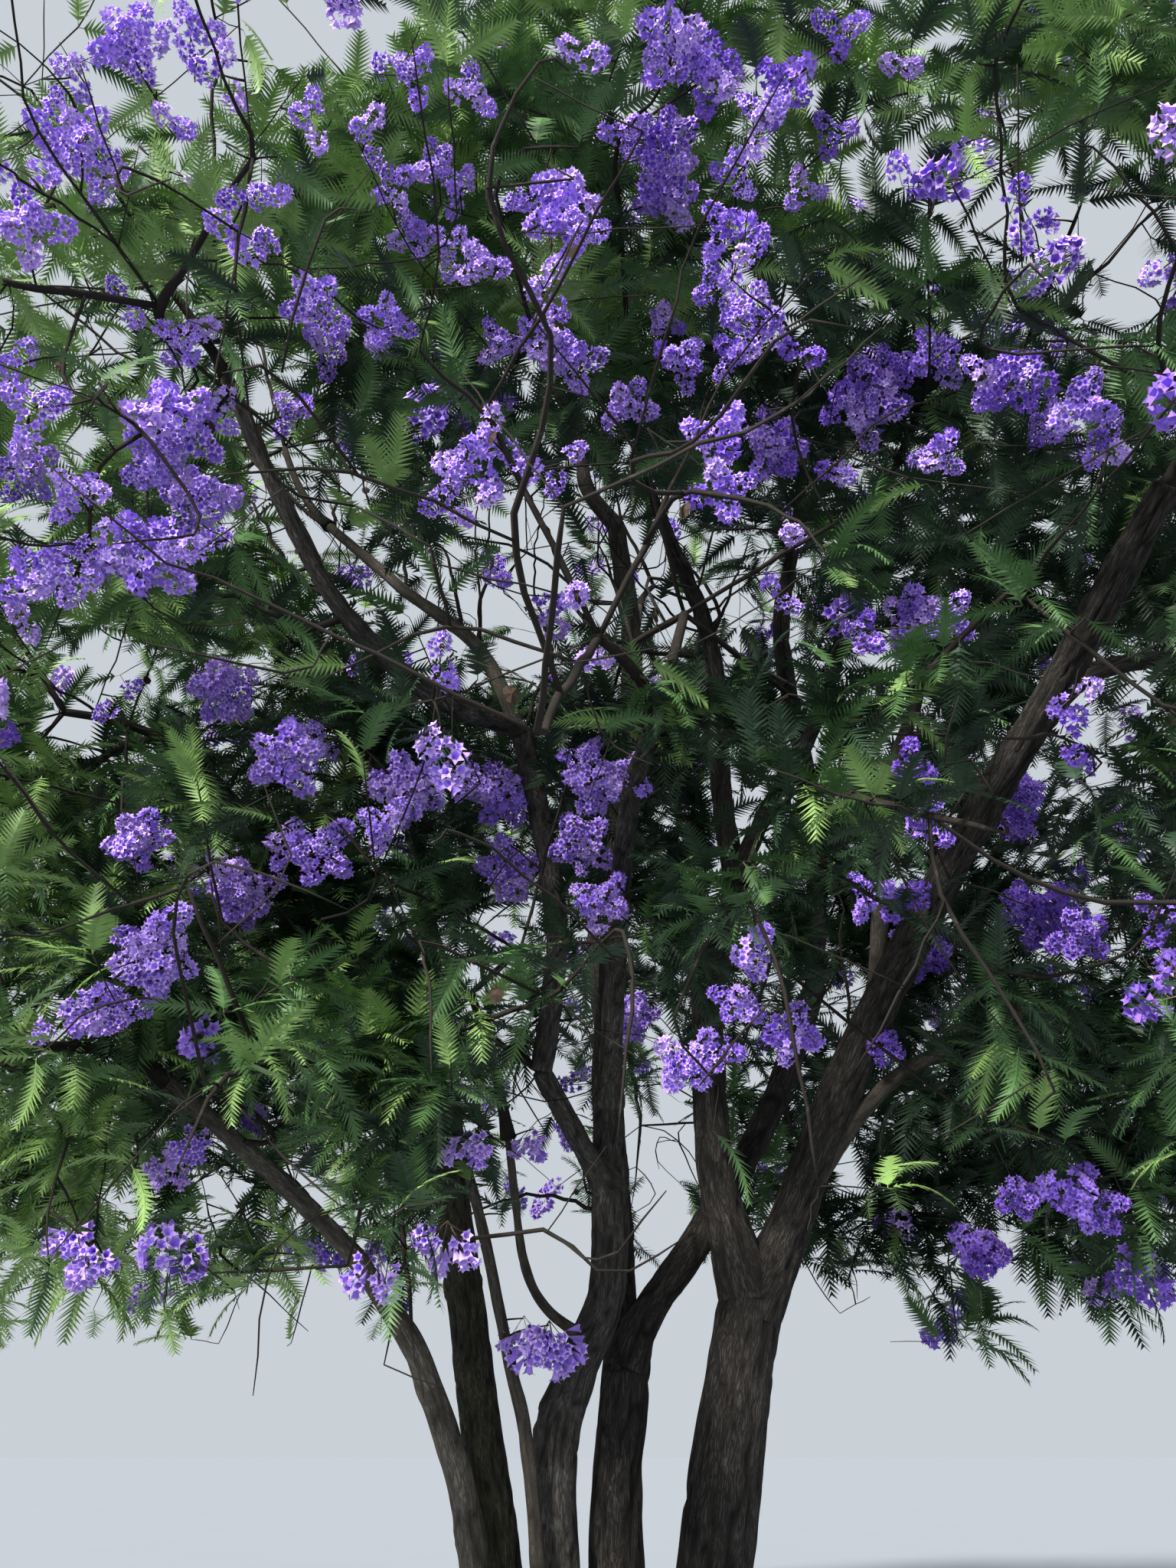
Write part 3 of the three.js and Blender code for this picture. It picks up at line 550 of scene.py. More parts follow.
def make_bark_splits():
    """Fine ridges of bark: their height, and how much of a crack a spot is."""
    group, given, out = node_group("bark_splits", [
        ("Width", FLOAT, 0.012), ("Stretch", FLOAT, 6), ("Grit", FLOAT, 0.4)], ["Height", "Crack"])
    parts = group.nodes.new("ShaderNodeSeparateXYZ")
    group.links.new(mark_node(group, "grain")["Vector"], parts.inputs[0])
    joined = group.nodes.new("ShaderNodeCombineXYZ")
    length = math_node(group, "MULTIPLY", given["Width"], given["Stretch"])
    for axis, size in enumerate([given["Width"], given["Width"], length]):
        group.links.new(math_node(group, "DIVIDE", parts.outputs[axis], size), joined.inputs[axis])
    wander = noise_node(group, joined.outputs[0], 1.0, 4, 0.35)
    middle = math_node(group, "ABSOLUTE", math_node(group, "SUBTRACT", wander, 0.5))
    whole = math_node(group, "MINIMUM", math_node(group, "MULTIPLY", middle, CRACK_EDGE), 1)
    crack = math_node(group, "SUBTRACT", 1, whole)
    grit = noise_node(group, joined.outputs[0], GRIT_FINENESS, 4)
    raised = math_node(group, "ADD", math_node(group, "MULTIPLY", grit, given["Grit"]),
                       math_node(group, "SUBTRACT", 1, crack))
    group.links.new(raised, out["Height"])
    group.links.new(crack, out["Crack"])
    return group


def make_bark_patches():
    """Soft-edged patches, for lichen, damp or young wood's corky dots."""
    group, given, out = node_group("bark_patches", [
        ("Size", FLOAT, 0.1), ("Cover", FLOAT, 0.4), ("Softness", FLOAT, 0.1)], ["Mask"])
    scale = math_node(group, "DIVIDE", 1, given["Size"])
    field = noise_node(group, object_spot(group), scale, 5, 0.4)
    low = math_node(group, "SUBTRACT", 1, given["Cover"])
    rise = math_node(group, "DIVIDE", math_node(group, "SUBTRACT", field, low), given["Softness"])
    mask = math_node(group, "MINIMUM", math_node(group, "MAXIMUM", rise, 0), 1)
    group.links.new(mask, out["Mask"])
    return group


TONE_DRIFT, BARK_SPLITS, BARK_PATCHES = make_tone_drift(), make_bark_splits(), make_bark_patches()
print("shared groups:", [group.name for group in bpy.data.node_groups])

# %% [markdown]
# ## The bark's finish
#
# Jacaranda bark is a dull grey-brown. Its ridges have weathered to grey, the splits between
# them keep a dark brown, lichen lies on it in pale patches, and the stem that stands in the
# shade has a green cast. Young wood is smoother and lighter. One function makes them all, so
# that they are clearly one tree's bark, and a few numbers set each kind apart. The mark
# `split` comes from the relief, so the dark lines lie where the mesh itself is split.

# %% Make the bark's finishes
SHADED = 0.62                # how dark the broad shaded patches are beside the ridges
FINE_DARK, SPLIT_DARK = 0.6, 0.85        # how dark fine cracks are, and the relief's splits
BARK_ROUGHNESS, PATCH_GLOSS = 0.95, 0.15

# Each bark's ridges, cracks and patches, then cover, width, bump and the patches' size.
BARK_LOOKS = {
    "old": ("old_bark", (0.112, 0.102, 0.092), (0.016, 0.014, 0.012), (0.165, 0.160, 0.146),
            0.42, 0.011, 0.006, 0.11),
    # The rough bark's colours are partly its own and partly painted shade, darkened as the stems
    # in the crown's shade look.
    "rough": ("rough_shade_darkened_bark", (0.066, 0.060, 0.054), (0.011, 0.009, 0.008), (0.125, 0.119, 0.106),
              0.38, 0.013, 0.008, 0.11),
    "ridged": ("ridged_bark", (0.076, 0.073, 0.052), (0.012, 0.011, 0.008),
               (0.068, 0.078, 0.042), 0.46, 0.009, 0.006, 0.11),
    "pale": ("pale_bark", (0.150, 0.136, 0.115), (0.030, 0.025, 0.020), (0.200, 0.190, 0.166),
             0.45, 0.012, 0.004, 0.11),
    "young": ("young_wood_bark", (0.100, 0.090, 0.074), (0.032, 0.027, 0.021),
              (0.150, 0.140, 0.118), 0.40, 0.007, 0.002, 0.03),
    # The twigs' near-black bark is partly their own dark colour and partly painted shade, darkened
    # as twigs in the crown's shade look.
    "twig": ("shade_darkened_twig_bark", (0.030, 0.025, 0.021), (0.012, 0.010, 0.008), (0.060, 0.053, 0.045),
             0.40, 0.006, 0.001, 0.05),
}


def shader_material(name, roughness, specular):
    material = bpy.data.materials.new(name)
    material.use_nodes = True
    shader = material.node_tree.nodes["Principled BSDF"]
    shader.inputs["Roughness"].default_value = roughness
    shader.inputs["Specular IOR Level"].default_value = specular
    return material, material.node_tree, shader


def place_group(tree, group, **values):
    made = tree.nodes.new("ShaderNodeGroup")
    made.node_tree = group
    for label, value in values.items():
        made.inputs[label].default_value = value
    return made.outputs


def bark_material(name, ridge, crack, patch, cover, width, bump, patch_size):
    """Bark with ridge and crack colours, and patches of a third colour over cover of it."""
    material, tree, shader = shader_material(name, roughness=0.9, specular=0.2)
    splits = place_group(tree, BARK_SPLITS, Width=width, Stretch=6.0, Grit=0.45)
    patches = place_group(tree, BARK_PATCHES, Size=patch_size, Cover=cover, Softness=0.12)
    broad = place_group(tree, BARK_PATCHES, Size=0.35, Cover=0.5, Softness=0.3)
    shaded = [channel * SHADED for channel in ridge]
    base = blend_node(tree, broad["Mask"], (*ridge, 1), (*shaded, 1))
    base = blend_node(tree, patches["Mask"], base, (*patch, 1))
    fine = math_node(tree, "MULTIPLY", splits["Crack"], FINE_DARK)
    deep = math_node(tree, "MULTIPLY", mark_node(tree, "split")["Fac"], SPLIT_DARK)
    dark = math_node(tree, "MAXIMUM", fine, deep)
    tree.links.new(blend_node(tree, dark, base, (*crack, 1)), shader.inputs["Base Color"])
    gloss = math_node(tree, "MULTIPLY", patches["Mask"], PATCH_GLOSS)
    tree.links.new(math_node(tree, "SUBTRACT", BARK_ROUGHNESS, gloss), shader.inputs["Roughness"])
    raised = tree.nodes.new("ShaderNodeBump")
    raised.inputs["Distance"].default_value = bump
    tree.links.new(splits["Height"], raised.inputs["Height"])
    tree.links.new(raised.outputs["Normal"], shader.inputs["Normal"])
    return material


BARK_FINISHES = {kind: bark_material(*look) for kind, look in BARK_LOOKS.items()}
print("bark finishes:", sorted(BARK_FINISHES))

# %% [markdown]
# ## Stems and boughs in bark
#
# Each stem and the boughs that it carries make one piece, and the slim young limbs another.
# A limb starts inside the one that bears it and widens there into a collar, so no gap shows and
# the fork looks grown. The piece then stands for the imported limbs, which are no longer shown.

# %% Clothe the stems and boughs
WOOD = {
    "bark_of_left_stem": ("pale", ["stem_left", "bough_lower_left"]),
    "bark_of_ridged_stem": ("ridged", ["stem_ridged", "bough_left", "bough_left_upright",
                                       "bough_back_left"]),
    "bark_of_middle_stem": ("old", ["stem_middle", "leader", "leader_top", "bough_knuckle",
                                    "bough_middle_left", "bough_front_left", "bough_front"]),
    "bark_of_rough_stem": ("rough", ["stem_rough", "bough_crossing", "bough_inner_right",
                                     "bough_back"]),
    "bark_of_right_stem": ("rough", ["stem_right", "bough_upright_right", "bough_middle_right",
                                     "bough_front_right", "bough_right", "bough_outer_right",
                                     "bough_back_right"]),
    "bark_of_slim_limbs": ("young", ["stem_slim", "shoot_slim", "leader_back", "bough_low_right",
                                     "bough_light_right", "bough_upper_left"]),
}


def settle(piece, nodes):
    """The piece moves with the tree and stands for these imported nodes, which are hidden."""
    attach(piece, "root")
    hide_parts(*nodes)


for name, (bark, members) in WOOD.items():
    wood = Parts()
    for member in members:
        bark_tube(wood, member, bark)
    piece = wood.piece(name, [BARK_FINISHES[bark]], smooth=True)
    settle(piece, members)

# %% [markdown]
# ## The root crown
#
# All the stems rise from one swollen base, which is wider than the stems together and spreads
# in low ridges between them. Such a lump of merged forms is hard to draw as one tube, so plain
# tubes and a low mound are put together and remeshed into one skin of small squares, as if
# shrink-wrapped. Its corners are then moved by the same relief as the stems' bark, and the
# underside is cut flat at the ground.

# %% Grow the root crown
MOUND = [(0.62, -0.05), (0.56, 0.05), (0.45, 0.16), (0.36, 0.27), (0.20, 0.33)]
MOUND_CENTRE = (0.06, 0.04)
MOUND_SIDES, FOOT_SIDES, FOOT_STEPS = 32, 24, 200
FOOT_TOP, FOOT_BURIED = 0.46, 0.06
FOOT_SPREAD, FOOT_SPREAD_HEIGHT = 0.75, 0.34
FOOT_NARROWING = 0.06        # how much the feet narrow up to their top, so that the stems cover it
SKIN_CELL, SKIN_GRAIN = 0.022, 0.35
RELIEF_FADE = 0.1


def plain_tube(parts, centres, radii, sides):
    way = ways_round(centres, sides)
    spots = (centres[:, None] + way * np.reshape(radii, (-1, 1, 1))).reshape(-1, 3)
    parts.add(np.vstack([spots, centres[0], centres[-1]]), tube_faces(len(centres), sides))


lump = Parts()
mound = np.array([(*MOUND_CENTRE, height) for _, height in MOUND])
plain_tube(lump, mound, [radius for radius, _ in MOUND], MOUND_SIDES)
for limb in limbs.values():
    if limb["parent"] is None:
        foot = limb["curve"].at(np.linspace(0, 1, FOOT_STEPS))
        foot = foot[foot[:, 2] <= FOOT_TOP]
        foot = np.vstack([foot[0] - (0, 0, FOOT_BURIED), foot])
        spread = 1 + FOOT_SPREAD * np.maximum(0, 1 - foot[:, 2] / FOOT_SPREAD_HEIGHT) ** 2
        spread -= FOOT_NARROWING * foot[:, 2] / FOOT_TOP
        plain_tube(lump, foot, limb["radii"][0] * spread, FOOT_SIDES)
root_crown = lump.piece("bark_of_root_crown", [BARK_FINISHES["rough"]], smooth=True)
remesh = root_crown.modifiers.new("skin", "REMESH")
remesh.mode, remesh.voxel_size = "VOXEL", SKIN_CELL
evaluated = root_crown.evaluated_get(bpy.context.evaluated_depsgraph_get())
skin = bpy.data.meshes.new_from_object(evaluated)
root_crown.modifiers.clear()

corners = np.empty(len(skin.vertices) * 3, np.float32)
outward = np.empty_like(corners)
skin.vertices.foreach_get("co", corners)
skin.vertex_normals.foreach_get("vector", outward)
corners, outward = corners.reshape(-1, 3).astype(float), outward.reshape(-1, 3)
height, split = relief_at(corners, SKIN_GRAIN, "rough")
corners += outward * height[:, None] * np.clip((FOOT_TOP - corners[:, 2:]) / RELIEF_FADE, 0, 1)
corners[:, 2] = np.maximum(corners[:, 2], 0)
placed = corners.astype(np.float32).ravel()
skin.vertices.foreach_set("co", placed)
skin.attributes.new("grain", "FLOAT_VECTOR", "POINT").data.foreach_set("vector", placed)
skin.attributes.new("split", "FLOAT", "POINT").data.foreach_set("value", split.astype(np.float32))
skin.materials.clear()
skin.materials.append(BARK_FINISHES["rough"])
skin.polygons.foreach_set("use_smooth", np.full(len(skin.polygons), True))
root_crown.data = skin
settle(root_crown, ["root_crown"])
print("root crown:", len(skin.polygons), "faces")

# %% [markdown]
# ## The masses of foliage
#
# Past the boughs' tips the crown is made of masses of twigs, each with a space of its own: all
# the points that are nearer to its middle than to any other mass's. A stem leads from the
# bough's tip into the mass. Twigs then grow from it by a simple rule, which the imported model
# follows too. A few places are scattered in the mass's space, as far from each other as can be,
# and the place that is nearest to the twigs so far, with some weight on the way back to the
# bough, is reached next. That spares wood, as a tree does, and so it looks like branching.
#
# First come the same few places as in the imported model, so the large twigs lie where its twigs
# do. Then the same rule goes on with many more places, which gives the fine twigs.

# %% Write down the masses
# The limb that bears a mass, its middle, the share of it that flowers, and its number for draws.
MASSES = [
    ("foliage_low_left_front", "bough_lower_left", (-3.05, -2.5, 3.05), 0.5, 1),
    ("foliage_low_left", "bough_lower_left", (-3.7, -0.45, 3.5), 0.4, 51),
    ("foliage_left_front", "bough_left", (-3.35, -2.05, 5.15), 0.6, 3),
    ("foliage_left", "bough_left", (-4.3, 0.25, 5.35), 0.6, 4),
    ("foliage_upper_left_back", "bough_left_upright", (-2.55, 1.35, 7.65), 0.6, 5),
    ("foliage_back_left", "bough_back_left", (-2.85, 3.05, 5.45), 0.5, 6),
    ("foliage_low_back_left", "bough_back_left", (-2.7, 2.35, 3.25), 0.4, 7),
    ("foliage_low_front_left", "stem_slim", (-0.9, -3.05, 2.9), 0.5, 8),
    ("foliage_inner_left", "shoot_slim", (-0.75, -1.65, 4.15), 0.3, 9),
    ("foliage_top", "leader_top", (-0.6, -1.35, 9.2), 0.6, 64),
    ("foliage_top_back", "leader_back", (0.7, 1.5, 8.6), 0.6, 11),
    ("foliage_upper_left_front", "bough_front_left", (-2.5, -3.05, 7.35), 0.75, 12),
    ("foliage_front_left", "bough_front_left", (-1.9, -3.95, 5.5), 0.65, 13),
    ("foliage_upper_left", "bough_upper_left", (-2.35, -1.15, 8.05), 0.7, 144),
    ("foliage_front", "bough_front", (-0.15, -3.85, 4.35), 0.65, 15),
    ("foliage_low_front_right", "bough_front", (1.25, -3.45, 3.4), 0.6, 16),
    ("foliage_upper_right", "bough_inner_right", (1.65, -0.65, 8.55), 0.6, 52),
    ("foliage_back", "bough_back", (-0.4, 3.3, 6.9), 0.6, 18),
    ("foliage_low_back", "bough_back", (0.5, 3.95, 4.45), 0.5, 19),
    ("foliage_upper_front", "bough_middle_right", (0.05, -2.9, 7.4), 0.75, 20),
    ("foliage_upper_right_front", "bough_front_right", (2.15, -2.5, 7.35), 0.6, 21),
    ("foliage_right_front", "bough_right", (2.35, -3.9, 5.35), 0.6, 22),
    ("foliage_low_right", "bough_low_right", (3.35, -1.65, 3.35), 0.5, 23),
    ("foliage_right", "bough_outer_right", (4.45, -1.3, 5.25), 0.6, 24),
    ("foliage_upper_right_side", "bough_light_right", (3.4, -0.3, 7.25), 0.6, 25),
    ("foliage_back_right", "bough_back_right", (3.35, 2.45, 5.6), 0.5, 26),
    ("foliage_low_back_right", "bough_back_right", (2.9, 2, 3.35), 0.4, 27),
    ("foliage_middle_front", "bough_front", (0.6, -2.4, 5.65), 0.6, 28),
]
MASS_REACH = np.array([1.65, 1.65, 1.40])
CROWN_CENTRE = np.array([0, -0.15, 5.85])
CROWN_RADII = np.array([5.75, 5.45, 4.60])
LOWEST_TIP = 1.55
STEM_SHARE, STEM_BEND, STEM_KNOTS = 0.55, 0.45, 3
STEM_RADII = (0.030, 0.022)
CLEARANCE_STEPS = 12


class Bend:
    """The stem of a mass: a curve that leaves the bough's tip its way and turns to the middle."""

    def __init__(self, bough, middle):
        self.tip = bough.at(1.0)
        self.end = self.tip + (middle - self.tip) * STEM_SHARE
        reach = np.linalg.norm(self.end - self.tip)
        self.turn = self.tip + bough.heading(1) * reach * STEM_BEND

    def at(self, shares):
        part = np.asarray(shares, float)[..., None]
        return self.tip * (1 - part) ** 2 + self.turn * 2 * part * (1 - part) + self.end * part**2


masses = []
for name, bearer, middle, bloom, number in MASSES:
    middle = np.array(middle)
    masses.append({"name": name, "middle": middle, "bloom": bloom, "number": number,
                   "stem": Bend(limbs[bearer]["curve"], middle), "index": len(masses)})
middles = np.array([mass["middle"] for mass in masses])
print("masses of foliage:", len(masses))

# %% [markdown]
# ## Where a twig may go
#
# A twig keeps to its mass's space, inside the crown's round outline, and clear of the limbs and
# of other masses' stems. The limbs are taken as short straight lengths here, because the
# distance from a point to a straight length is quick to work out for thousands of points at once.

# %% Test places against limbs and neighbours
CELL_MARGIN, LIMB_MARGIN, TWIG_ROOM = 0.012, 0.025, 0.008


def straight_lengths(curve, radii, owner):
    ends = curve.at(np.linspace(0, 1, CLEARANCE_STEPS + 1))
    radius = radii[0] + (radii[1] - radii[0]) * np.arange(CLEARANCE_STEPS) / CLEARANCE_STEPS
    return ends[:-1], ends[1:], radius, np.full(CLEARANCE_STEPS, owner)


lengths = [straight_lengths(limb["curve"], limb["radii"], -1) for limb in limbs.values()]
lengths += [straight_lengths(mass["stem"], STEM_RADII, mass["index"]) for mass in masses]
LENGTH_FROM, LENGTH_TO, LENGTH_RADIUS, LENGTH_OWNER = (
    np.concatenate(part) for part in zip(*lengths))


def is_free(spots, mass):
    """Which of the points lie in the mass's own space and clear of limbs."""
    others = np.arange(len(masses)) != mass["index"]
    apart = np.linalg.norm(middles[others] - mass["middle"], axis=1)
    to_others = ((spots[:, None] - middles[others]) ** 2).sum(-1)
    to_own = ((spots - mass["middle"]) ** 2).sum(-1)[:, None]
    depth = ((to_others - to_own) / (2 * apart)).min(1)
    free = depth > CELL_MARGIN + TWIG_ROOM
    kept = LENGTH_OWNER != mass["index"]
    start, along = LENGTH_FROM[kept], (LENGTH_TO - LENGTH_FROM)[kept]
    tested = spots[free]
    part = np.einsum("nki,ki->nk", tested[:, None] - start, along) / (along**2).sum(1)
    nearest = start + along * np.clip(part, 0, 1)[..., None]
    away = np.linalg.norm(tested[:, None] - nearest, axis=-1)
    free[free] = (away > LENGTH_RADIUS[kept] + TWIG_ROOM + LIMB_MARGIN).all(1)
    return free


print("straight lengths to keep clear of:", len(LENGTH_RADIUS))

# %% [markdown]
# ## Growing the twigs
#
# The draws are a plain repeatable run of numbers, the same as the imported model's, so the tree
# is the same one each time. A twig's knots remember the knot that they were reached from, and
# how many knots they carry in the end sets their thickness: a twig has as much wood as all
# that grows on it, which is an old observation about trees.

# %% Grow the twigs of every mass
SEED = 22801
MULTIPLIER, MODULUS = 16807, 2147483647
COARSE_PLACES, COARSE_TRIES = 12, 14
FINE_PLACES, FINE_TRIES = 80, 7
PATH_WEIGHT = 0.3
HALFWAY = (0.34, 0.67)


def draws_from(seed):
    """A repeatable run of numbers from 0 to 1."""
    state = seed
    while True:
        state = state * MULTIPLIER % MODULUS
        yield state / MODULUS


def depth_of(spots):
    """How far out in the crown points are: 0 at its centre, 1 at its outline."""
    return np.linalg.norm((spots - CROWN_CENTRE) / CROWN_RADII, axis=1)


def scatter_places(mass, draws, count, tries, taken):
    """Places in the mass's space, each the one of several tries that is furthest from the rest."""
    offsets = np.array([next(draws) for _ in range(count * tries * 3)]).reshape(-1, 3) * 2 - 1
    spots = offsets * MASS_REACH + mass["middle"]
    good = (np.linalg.norm(offsets, axis=1) <= 1) & (depth_of(spots) <= 1)
    good &= spots[:, 2] >= LOWEST_TIP
    good[good] = is_free(spots[good], mass)
    chosen = list(taken)
    for start in range(0, count * tries, tries):
        options = spots[start:start + tries][good[start:start + tries]]
        if len(options) == 0:
            continue
        room = np.full(len(options), MASS_REACH[0])
        if chosen:
            nearest = np.linalg.norm(options[:, None] - np.array(chosen), axis=-1).min(1)
            room = np.minimum(room, nearest)
        chosen.append(options[np.argmax(room)])
    return np.array(chosen[len(taken):]).reshape(-1, 3)


def reach_places(mass, places, knots):
    """Reaches each place by a straight twig from the cheapest knot, and makes it a knot."""
    cost = np.full(len(places), np.inf)
    source = np.zeros(len(places), int)

    def offer(index):
        knot = knots[index]
        price = np.linalg.norm(places - knot["spot"], axis=1) + PATH_WEIGHT * knot["path"]
        better = price < cost
        cost[better], source[better] = price[better], index

    for index in range(len(knots)):
        offer(index)
    waiting = np.full(len(places), len(places) > 0)
    while waiting.any():
        pick = np.flatnonzero(waiting)[np.argmin(cost[waiting])]
        waiting[pick] = False
        origin = knots[source[pick]]
        steps = np.arange(1, CLEARANCE_STEPS + 1)[:, None] / CLEARANCE_STEPS
        if not is_free(origin["spot"] + (places[pick] - origin["spot"]) * steps, mass).all():
            continue
        reach = np.linalg.norm(places[pick] - origin["spot"])
        knots.append({"spot": places[pick], "path": origin["path"] + reach, "from": source[pick]})
        offer(len(knots) - 1)


def split_twigs(knots):
    """The same twigs with knots part of the way along each, for finer twigs to leave from."""
    finer, moved = [], {}
    for index, knot in enumerate(knots):
        before = knot["from"]
        if before is not None:
            last = moved[before]
            for share in HALFWAY:
                spot = knots[before]["spot"] * (1 - share) + knot["spot"] * share
                path = knots[before]["path"] * (1 - share) + knot["path"] * share
                finer.append({"spot": spot, "path": path, "from": last, "passing": True})
                last = len(finer) - 1
            before = last
        finer.append({**knot, "from": before})
        moved[index] = len(finer) - 1
    return finer


def grow(mass):
    draws = draws_from(SEED * mass["number"])
    knots = [{"spot": mass["stem"].at(step / STEM_KNOTS), "path": 0, "from": None}
             for step in range(1, STEM_KNOTS + 1)]
    coarse = scatter_places(mass, draws, COARSE_PLACES, COARSE_TRIES, [])
    reach_places(mass, coarse, knots)
    knots = split_twigs(knots)
    fine = scatter_places(mass, draws, FINE_PLACES, FINE_TRIES, list(coarse))
    reach_places(mass, fine, knots)
    for knot in knots:
        knot["load"], knot["next"] = (0 if knot.get("passing") else 1), []
    for index in range(len(knots) - 1, -1, -1):
        before = knots[index]["from"]
        if before is not None:
            knots[before]["load"] += knots[index]["load"]
            knots[before]["next"].append(index)
    mass["knots"] = knots


for mass in masses:
    grow(mass)
print("knots of all masses:", sum(len(mass["knots"]) for mass in masses))

# %% [markdown]
# ## Twigs as fine tubes
#
# A strand runs from the knot that it leaves, along its straightest followers, to a tip, and the
# other followers start strands of their own. A smooth curve through a strand's knots gives long
# arching twigs in place of zigzags. Real twigs are never quite straight either, so the
# points between knots wander a little. The tubes have few sides, as they are only some
# millimetres thick, and all twigs of one side of the crown are joined as one piece.

# %% Turn the knots into tubes
TWIG_TIP_RADIUS, TWIG_GROWTH = 0.0034, 0.48
TWIG_STEP, WANDER = 0.13, 0.05
SHARPEST_TURN = 0.3          # a strand goes on where its next step keeps this much of its way
FOOT_CORE, TIP_TAPER = 0.85, 0.6
SIX_SIDES, FOUR_SIDES = 0.012, 0.006     # the radii from which a twig has six sides, or four
STEM_POINTS, STEM_SIDES, STEM_FLARE = 9, 10, (1.5, 1.15)
SIDES = ("left", "front_left", "front_right", "right", "back")
FRONT_Y, BACK_Y, FRONT_MIDDLE = -2.2, 1.3, 0.1
rng = np.random.default_rng(20)


def side_at(spots):
    """Which side of the crown each point is on, as its place in SIDES."""
    x, y = np.atleast_2d(spots)[:, :2].T
    front = y < FRONT_Y
    return np.select([y > BACK_Y, front & (x < FRONT_MIDDLE), front, x < 0], [4, 1, 2, 0], 3)


def strands_of(knots):
    """Lists of knots that follow each other along one twig."""
    def way(one, two):
        return unit(knots[two]["spot"] - knots[one]["spot"])

    waiting = [[index, following] for index, knot in enumerate(knots) if knot["from"] is None
               for following in knot["next"]]
    while waiting:
        strand = waiting.pop()
        while knots[strand[-1]]["next"]:
            before, here = strand[-2:]
            ahead = {index: way(here, index) @ way(before, here) for index in knots[here]["next"]}
            followers = sorted(ahead, key=ahead.get, reverse=True)
            if ahead[followers[0]] <= SHARPEST_TURN:
                waiting += [[here, index] for index in followers]
                break
            waiting += [[here, index] for index in followers[1:]]
            strand.append(followers[0])
        yield strand


def add_strand(parts, knots, strand):
    curve = Curve([knots[index]["spot"] for index in strand])
    loads = [TWIG_TIP_RADIUS * max(knots[index]["load"], 1) ** TWIG_GROWTH for index in strand]
    room = STEM_RADII[1] if knots[strand[0]]["from"] is None else loads[0]
    loads[0] = min(loads[1], room) * FOOT_CORE
    shares, run = curve.evenly(TWIG_STEP)
    centres = curve.at(shares)
    hump = np.sin(np.linspace(0, math.pi, len(shares)))[:, None]
    centres += rng.normal(0, WANDER * run[-1] / len(shares), centres.shape) * hump
    radii = np.interp(shares * (len(strand) - 1), np.arange(len(strand)), loads)
    radii[-1] *= TIP_TAPER
    sides = 6 if radii[0] > SIX_SIDES else 4 if radii[0] > FOUR_SIDES else 3
    plain_tube(parts, centres, radii, sides)
    return centres, radii


twigs = [Parts() for _ in SIDES]
for mass in masses:
    mass["side"] = side_at(mass["middle"])[0]
    mine = twigs[mass["side"]]
    stem_radii = np.linspace(*STEM_RADII, STEM_POINTS)
    stem_radii[:2] *= STEM_FLARE
    plain_tube(mine, mass["stem"].at(np.linspace(0, 1, STEM_POINTS)), stem_radii, STEM_SIDES)
    mass["twigs"] = [add_strand(mine, mass["knots"], strand)
                     for strand in strands_of(mass["knots"])]
print("strands:", sum(len(mass["twigs"]) for mass in masses))
